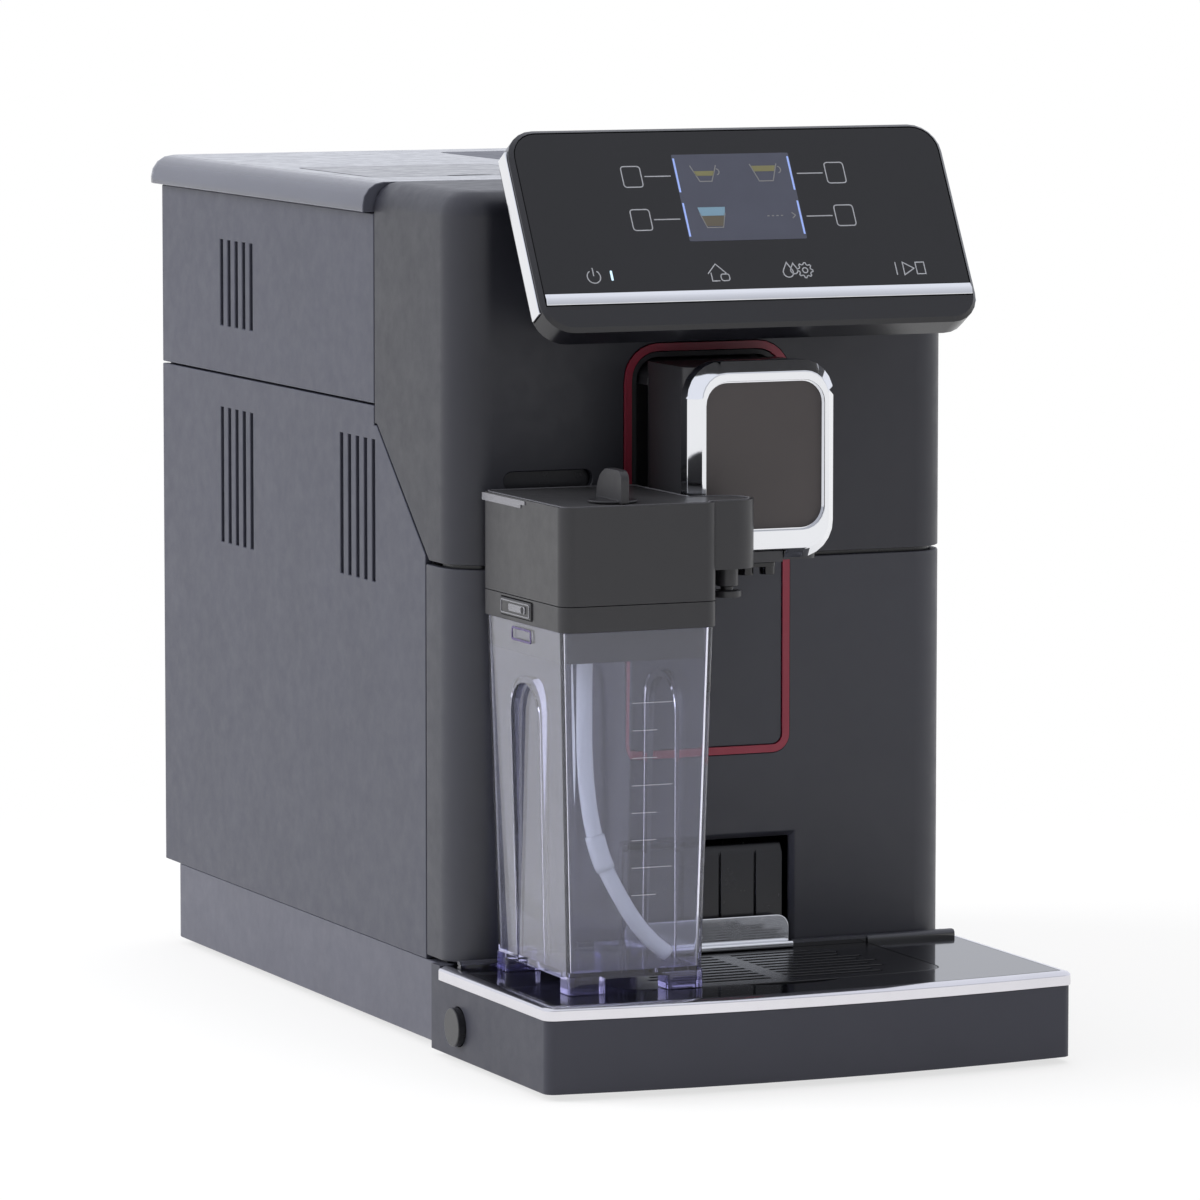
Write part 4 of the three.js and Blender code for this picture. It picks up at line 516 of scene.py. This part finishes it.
def touch_marks():
    """Keys beside the screen, then on/off, start and stop, home, and rinse with its gear."""
    lines = []
    for side in (-1, 1):
        for top in (16.6, 34.9):
            edge = 38.6 * side
            x0, x1 = sorted((edge, edge + 7.9 * side))
            lines.append((rounded(x0, x1, top, top + 8.8, 1.2), True))
            lines.append(([(26.4 * side, top + 4.4), (37.3 * side, top + 4.4)], False))
    lines.append((arc(-67, 62.6, 2.7, -58, 238, 18), False))
    lines.append(([(-67, 58.9), (-67, 62.3)], False))
    lines.append(([(58.9, 59.8), (58.9, 65.2)], False))
    lines.append(([(62.0, 59.9), (66.4, 62.6), (62.0, 65.3)], True))
    lines.append(([(67.4, 60.1), (71.0, 60.1), (71.0, 65.0), (67.4, 65.0)], True))
    lines.append(([(-20.0, 62.6), (-16.2, 58.6), (-12.4, 62.6)], False))
    lines.append(([(-18.7, 62.2), (-18.7, 65.7), (-15.6, 65.7)], False))
    lines.append((rounded(-14.9, -11.4, 62.9, 65.7, 0.9, 3), True))
    for x, y, size in ((13.4, 62.9, 2.1), (16.0, 62.1, 1.5)):
        lines.append(([(x, y - 2 * size), *arc(x, y, size, -30, 210, 9)], True))
    lines.append((arc(20.6, 62.2, 1.1, 0, 324, 9), True))
    teeth = []
    for i in range(4 * GEAR_TEETH):
        turn, reach = math.pi * i / (2 * GEAR_TEETH), TOOTH_TIP if i % 4 < 2 else TOOTH_ROOT
        teeth.append((20.6 + reach * math.cos(turn), 62.2 + reach * math.sin(turn)))
    lines.append((teeth, True))
    return panel_lines(lines, INK_WIDTH)


def screen_bars():
    lines = []
    for x in (-23.9, 23.9):
        for top, foot in ((13.6, 28.0), (32.6, 46.8)):
            lines.append(([(x, top), (x, foot)], False))
    return panel_lines(lines, BAR_WIDTH, BAR_LIFT)


def cup(x, top, foot, half, half_foot):
    return [(x - half, top), (x - half_foot, foot), (x + half_foot, foot), (x + half, top)]


def cup_lines():
    lines = [
        (cup(-12.3, 16.8, 23.6, 5.4, 2.5), False), (cup(12.9, 16.6, 23.9, 5.6, 2.9), False),
        (cup(-12.6, 37.2, 43.2, 5.2, 3.3), False),
        (arc(18.5, 19.2, 1.4, -80, 80, 6), False), (arc(-7.3, 19.6, 1.3, -80, 80, 6), False),
        ([(20.4, 37.6), (21.8, 38.8), (20.4, 40.0)], False),
    ]
    lines += [([(x, 38.8), (x + 0.9, 38.8)], False) for x in (10.0, 11.9, 13.8, 15.7)]
    return panel_lines(lines, CUP_WIDTH, SCREEN_LIFT)


def panel_block(x0, x1, y0, y1, radius, steps):
    return prism(rounded(x0, x1, y0, y1, radius, steps), on_panel, LIFT, SINK)


def drink(x, top, foot, half, half_foot):
    return prism(cup(x, top, foot, half, half_foot), on_panel, SCREEN_LIFT, SINK)


for name, shape, finish in (
    ("screen_face", panel_block(-24.5, 24.5, 12, 48.8, 0.6, 4), "screen"),
    ("touch_marks", touch_marks(), "ink"),
    ("status_light", panel_block(-60.1, -59.2, 60.2, 64.4, 0.4, 3), "status"),
    ("screen_side_bars", screen_bars(), "bars"),
    ("screen_cups", cup_lines(), "glassware"),
    (
        "screen_coffee",
        gather(drink(-12.3, 19.2, 21.2, 4.3, 3.5), drink(12.9, 17.4, 19.8, 5.0, 4.1)), "drink",
    ),
    ("screen_foam", drink(-12.6, 34.6, 38.2, 5.7, 5.0), "foam"),
    ("screen_brew", drink(-12.6, 38.3, 42.6, 4.6, 3.4), "brew"),
):
    new_piece(name, *shape, EXTRAS[finish], "machine", "screen_blue")


# Placing functions for upright and level faces
def facing(plane):
    """Places points to the right and up on an upright face, behind a front plane."""
    return lambda x, height, depth: Vector((x, plane + depth, height)) * MM


def on_top(plane):
    """Places points to the right and to the back on a level face."""
    return lambda x, y, depth: Vector((x, y, plane - depth)) * MM


def on_side(plane, inward):
    """Places points to the back and up on a side face; inward is 1 on the left, -1 on the right."""
    return lambda y, height, depth: Vector((plane + inward * depth, y, height)) * MM


def box_mm(name):
    return [[value / MM for value in corner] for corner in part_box(name)]


# Neck behind the panel, narrower than its solid as in the photo
CONSOLE_SHARE = 0.8333
console = NODES["console_body"].data
neck = new_piece(
    "console_neck", [(v.co.x * CONSOLE_SHARE, v.co.y, v.co.z) for v in console.vertices],
    [tuple(p.vertices) for p in console.polygons], SHADES["charcoal_plastic"], "machine",
    "charcoal_plastic",
)
add_weld(neck)
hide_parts("console_body")

# Bright edge round the spout's plate
PLATE_GROW, PLATE_CORNER, BEZEL_WIDTH = 0.1, 9, 1.0
plate_low, plate_high = box_mm("spout_plate")
plate_edge = rounded(
    plate_low[0] - PLATE_GROW, plate_high[0] + PLATE_GROW,
    plate_low[2] - PLATE_GROW, plate_high[2] + PLATE_GROW, PLATE_CORNER, 8,
)
new_piece(
    "plate_bezel", *ribbon(plate_edge, BEZEL_WIDTH, facing(plate_low[1]), -1.1, 0.4, True),
    SHADES["chrome_trim"], "spout", "chrome_trim",
)

# Bead along the lid's top edge and round its milk arm, whose lighter grey is a painted highlight
LID_LEFT, LID_RIGHT, LID_FRONT, LID_REAR, LID_TOP = -96, -32, -199.75, -119.25, 219.5
LID_CORNER, ARM_STEP = 4.0, 2.5
ARM_END, ARM_Y, ARM_RADIUS = -12.4, -184.25, 11
BEAD_INSET, BEAD_WIDTH = 1.5, 0.7


def lid_line(inset):
    left, right = LID_LEFT + inset, LID_RIGHT - inset
    front, rear = LID_FRONT + inset, LID_REAR - inset
    reach = ARM_RADIUS - inset
    return (
        arc(left + LID_CORNER, front + LID_CORNER, LID_CORNER, 180, 270, 5)
        + [(right - ARM_STEP, front), (right, ARM_Y - reach)]
        + arc(ARM_END - ARM_RADIUS, ARM_Y, reach, -90, 90, 12)
        + [(right, ARM_Y + reach)]
        + arc(right - LID_CORNER, rear - LID_CORNER, LID_CORNER, 0, 90, 5)
        + arc(left + LID_CORNER, rear - LID_CORNER, LID_CORNER, 90, 180, 5)
    )


new_piece(
    "lid_bead", *ribbon(lid_line(BEAD_INSET), BEAD_WIDTH, on_top(LID_TOP), -0.3, 0.4, True),
    EXTRAS["bead"], "frothing_lid", "carafe_grey",
)
# Lighter strip on the lid's left side at the rear, standing for a plate edge: painted highlight
STRIP_OUTLINE = (
    (-159.5, 216.2), (-121.5, 216.2), (-121.5, 219.1), (-163.5, 219.1), (-163.5, 217.6),
    (-159.5, 217.6),
)
new_piece(
    "lid_edge_painted_highlight", *prism(STRIP_OUTLINE, on_side(LID_LEFT, 1), -0.3, 0.4), EXTRAS["bead"],
    "frothing_lid", "carafe_grey",
)

# Frame, lug and dimple on each latch button; frame and lug take the lighter bead grey as a painted
# highlight, and the dimple is a near-black disc laid on the lug as painted shade of its hollow
LATCH_INSET, LATCH_DROP, LATCH_CORNER = 1.4, 0.9, 0.8
LUG_START, LUG_END, LUG_FOOT, LUG_TOP = 3.5, 19.5, 1.1, 0.9
DIMPLE_AT, DIMPLE_RADIUS = 6, 1.3
latch_low, latch_high = box_mm("carafe_button_left")
latch_right = box_mm("carafe_button_right")[1][0]
y0, y1 = latch_low[1] + LATCH_INSET, latch_high[1] - LATCH_INSET
z0, z1 = latch_low[2] + LATCH_DROP, latch_high[2] - LATCH_DROP
for side, face in (("left", on_side(latch_low[0], 1)), ("right", on_side(latch_right, -1))):
    rim = ribbon(rounded(y0, y1, z0, z1, LATCH_CORNER), 0.5, face, -0.2, 0.3, True)
    lug_line = rounded(y0 + LUG_START, y0 + LUG_END, z0 + LUG_FOOT, z1 - LUG_TOP, LATCH_CORNER)
    dimple_line = arc(y0 + DIMPLE_AT, (z0 + z1) / 2, DIMPLE_RADIUS, 0, 330, 11)
    new_piece(
        f"latch_frame_{side}", *gather(rim, prism(lug_line, face, -0.35, 0.3)), EXTRAS["bead"],
        f"carafe_button_{side}", "carafe_grey",
    )
    # Near-black disc on the lug: painted shade of the dimple's hollow
    new_piece(
        f"latch_dimple_{side}", *prism(dimple_line, face, -0.45, 0.2), EXTRAS["dimple"],
        f"carafe_button_{side}", "dark_plastic",
    )

# Level lines on the front wall of the carafe, which leans back towards its foot
WALL_FOOT_Y, WALL_TOP_Y, WALL_FOOT, WALL_TOP = -196.0, -198.25, 41.4, 172.5
LEVEL_LEFT, LEVEL_TOP, LEVEL_STEP, LEVEL_WIDTH = -66.8, 145.2, 10.4, 0.26
LEVEL_REACHES = (16.4, 10, 10, 16.4, 10, 10, 16.4, 10)
CATCH_PLANE, CATCH_WIDTH = -95.05, 0.9


def on_wall(x, height, depth):
    share = (height - WALL_FOOT) / (WALL_TOP - WALL_FOOT)
    return Vector((x, WALL_FOOT_Y + share * (WALL_TOP_Y - WALL_FOOT_Y) + depth, height)) * MM


level_marks = []
for i, reach in enumerate(LEVEL_REACHES):
    height = LEVEL_TOP - LEVEL_STEP * i
    line = [(LEVEL_LEFT, height), (LEVEL_LEFT + reach, height)]
    level_marks.append(ribbon(line, LEVEL_WIDTH, on_wall, -0.05, 0.1))
new_piece("level_lines", *gather(*level_marks), EXTRAS["level"], "carafe", "clear_plastic")
catch_line = rounded(-166.5, -148.5, 165.8, 170.2, 0.8)
new_piece(
    "catch_window", *ribbon(catch_line, CATCH_WIDTH, on_side(CATCH_PLANE, 1), -0.2, 0.5, True),
    EXTRAS["violet"], "carafe", "clear_plastic",
)


# Floor, world and lamps
def math_node(tree, operation, a, b):
    node = tree.nodes.new("ShaderNodeMath")
    node.operation = operation
    for socket, value in zip(node.inputs, (a, b)):
        if isinstance(value, bpy.types.NodeSocket):
            tree.links.new(value, socket)
        else:
            socket.default_value = value
    return node.outputs[0]


def smooth_ramp(tree, value, start, end, low, high):
    node = tree.nodes.new("ShaderNodeMapRange")
    node.interpolation_type = "SMOOTHSTEP"
    for key, setting in (("From Min", start), ("From Max", end), ("To Min", low), ("To Max", high)):
        node.inputs[key].default_value = setting
    tree.links.new(value, node.inputs["Value"])
    return node.outputs["Result"]


def light_path(tree, *names):
    """The largest of the named ray tests."""
    node = tree.nodes.new("ShaderNodeLightPath")
    total = node.outputs[names[0]]
    for name in names[1:]:
        total = math_node(tree, "MAXIMUM", total, node.outputs[name])
    return total


FLOOR_SIZE = 60.0
FLOOR_COLOR = (0.93, 0.93, 0.94, 1)
FLOOR_NEAR, FLOOR_FAR, NEAR_WHITE = 0.24, 0.62, 0.70


def make_floor():
    """Pale floor that keeps the object's shadow and turns plain white away from it."""
    material = bpy.data.materials.new("floor")
    material.use_nodes = True
    tree = material.node_tree
    tree.nodes.clear()
    out = tree.nodes.new("ShaderNodeOutputMaterial")
    lit = tree.nodes.new("ShaderNodeBsdfDiffuse")
    lit.inputs["Color"].default_value = FLOOR_COLOR
    white = tree.nodes.new("ShaderNodeEmission")
    far = tree.nodes.new("ShaderNodeVectorMath")
    far.operation = "LENGTH"
    tree.links.new(tree.nodes.new("ShaderNodeTexCoord").outputs["Object"], far.inputs[0])
    ramp = smooth_ramp(tree, far.outputs["Value"], FLOOR_NEAR, FLOOR_FAR, NEAR_WHITE, 1.0)
    seen = light_path(tree, "Is Camera Ray", "Is Glossy Ray", "Is Transmission Ray")
    mix = tree.nodes.new("ShaderNodeMixShader")
    tree.links.new(math_node(tree, "MULTIPLY", ramp, seen), mix.inputs[0])
    tree.links.new(lit.outputs[0], mix.inputs[1])
    tree.links.new(white.outputs[0], mix.inputs[2])
    tree.links.new(mix.outputs[0], out.inputs["Surface"])
    half = FLOOR_SIZE / 2
    mesh = bpy.data.meshes.new("floor")
    corners = [(-half, -half, 0), (half, -half, 0), (half, half, 0), (-half, half, 0)]
    mesh.from_pydata(corners, [], [(0, 1, 2, 3)])
    mesh.materials.append(material)
    floor = bpy.data.objects.new("floor", mesh)
    bpy.context.scene.collection.objects.link(floor)


AMBIENT = 0.4
DIM_FRONT, DIM_FROM, DIM_TO = 0.62, -0.95, -0.25
WHITE, COOL = (1, 1, 1, 1), (0.90, 0.925, 1.0, 1.0)


def make_world():
    """White backdrop, cooler and at the front dimmer in reflections, with a soft fill light."""
    world = bpy.data.worlds.new("world")
    bpy.context.scene.world = world
    world.use_nodes = True
    tree = world.node_tree
    back = tree.nodes["Background"]
    glossy = light_path(tree, "Is Glossy Ray")
    color = tree.nodes.new("ShaderNodeMix")
    color.data_type = "RGBA"
    color.inputs[6].default_value = WHITE
    color.inputs[7].default_value = COOL
    tree.links.new(glossy, color.inputs[0])
    tree.links.new(color.outputs[2], back.inputs["Color"])
    split = tree.nodes.new("ShaderNodeSeparateXYZ")
    tree.links.new(tree.nodes.new("ShaderNodeTexCoord").outputs["Generated"], split.inputs[0])
    studio = smooth_ramp(tree, split.outputs["Y"], DIM_FROM, DIM_TO, DIM_FRONT, 1.0)
    gloss = math_node(tree, "MULTIPLY", studio, glossy)
    plain = light_path(tree, "Is Camera Ray", "Is Transmission Ray")
    strength = math_node(tree, "MAXIMUM", math_node(tree, "MAXIMUM", plain, gloss), AMBIENT)
    tree.links.new(strength, back.inputs["Strength"])


def area_light(name, place, target, size, watts):
    data = bpy.data.lights.new(name, "AREA")
    data.shape, data.size, data.energy = "SQUARE", size, watts
    lamp = bpy.data.objects.new(name, data)
    lamp.visible_glossy = False
    lamp.location = place
    lamp.rotation_euler = (Vector(target) - Vector(place)).to_track_quat("-Z", "Y").to_euler()
    bpy.context.scene.collection.objects.link(lamp)


make_floor()
make_world()
area_light("key", (-1.95, 0.85, 1.3), (0, 0, 0.2), 1.5, 50)
area_light("top", (0.2, 0.2, 2.4), (0, 0, 0.1), 1.4, 33)
area_light("front", (0.9, -2.2, 1.5), (0, 0, 0.2), 1.2, 6)

bpy.context.scene.view_settings.view_transform = "Standard"
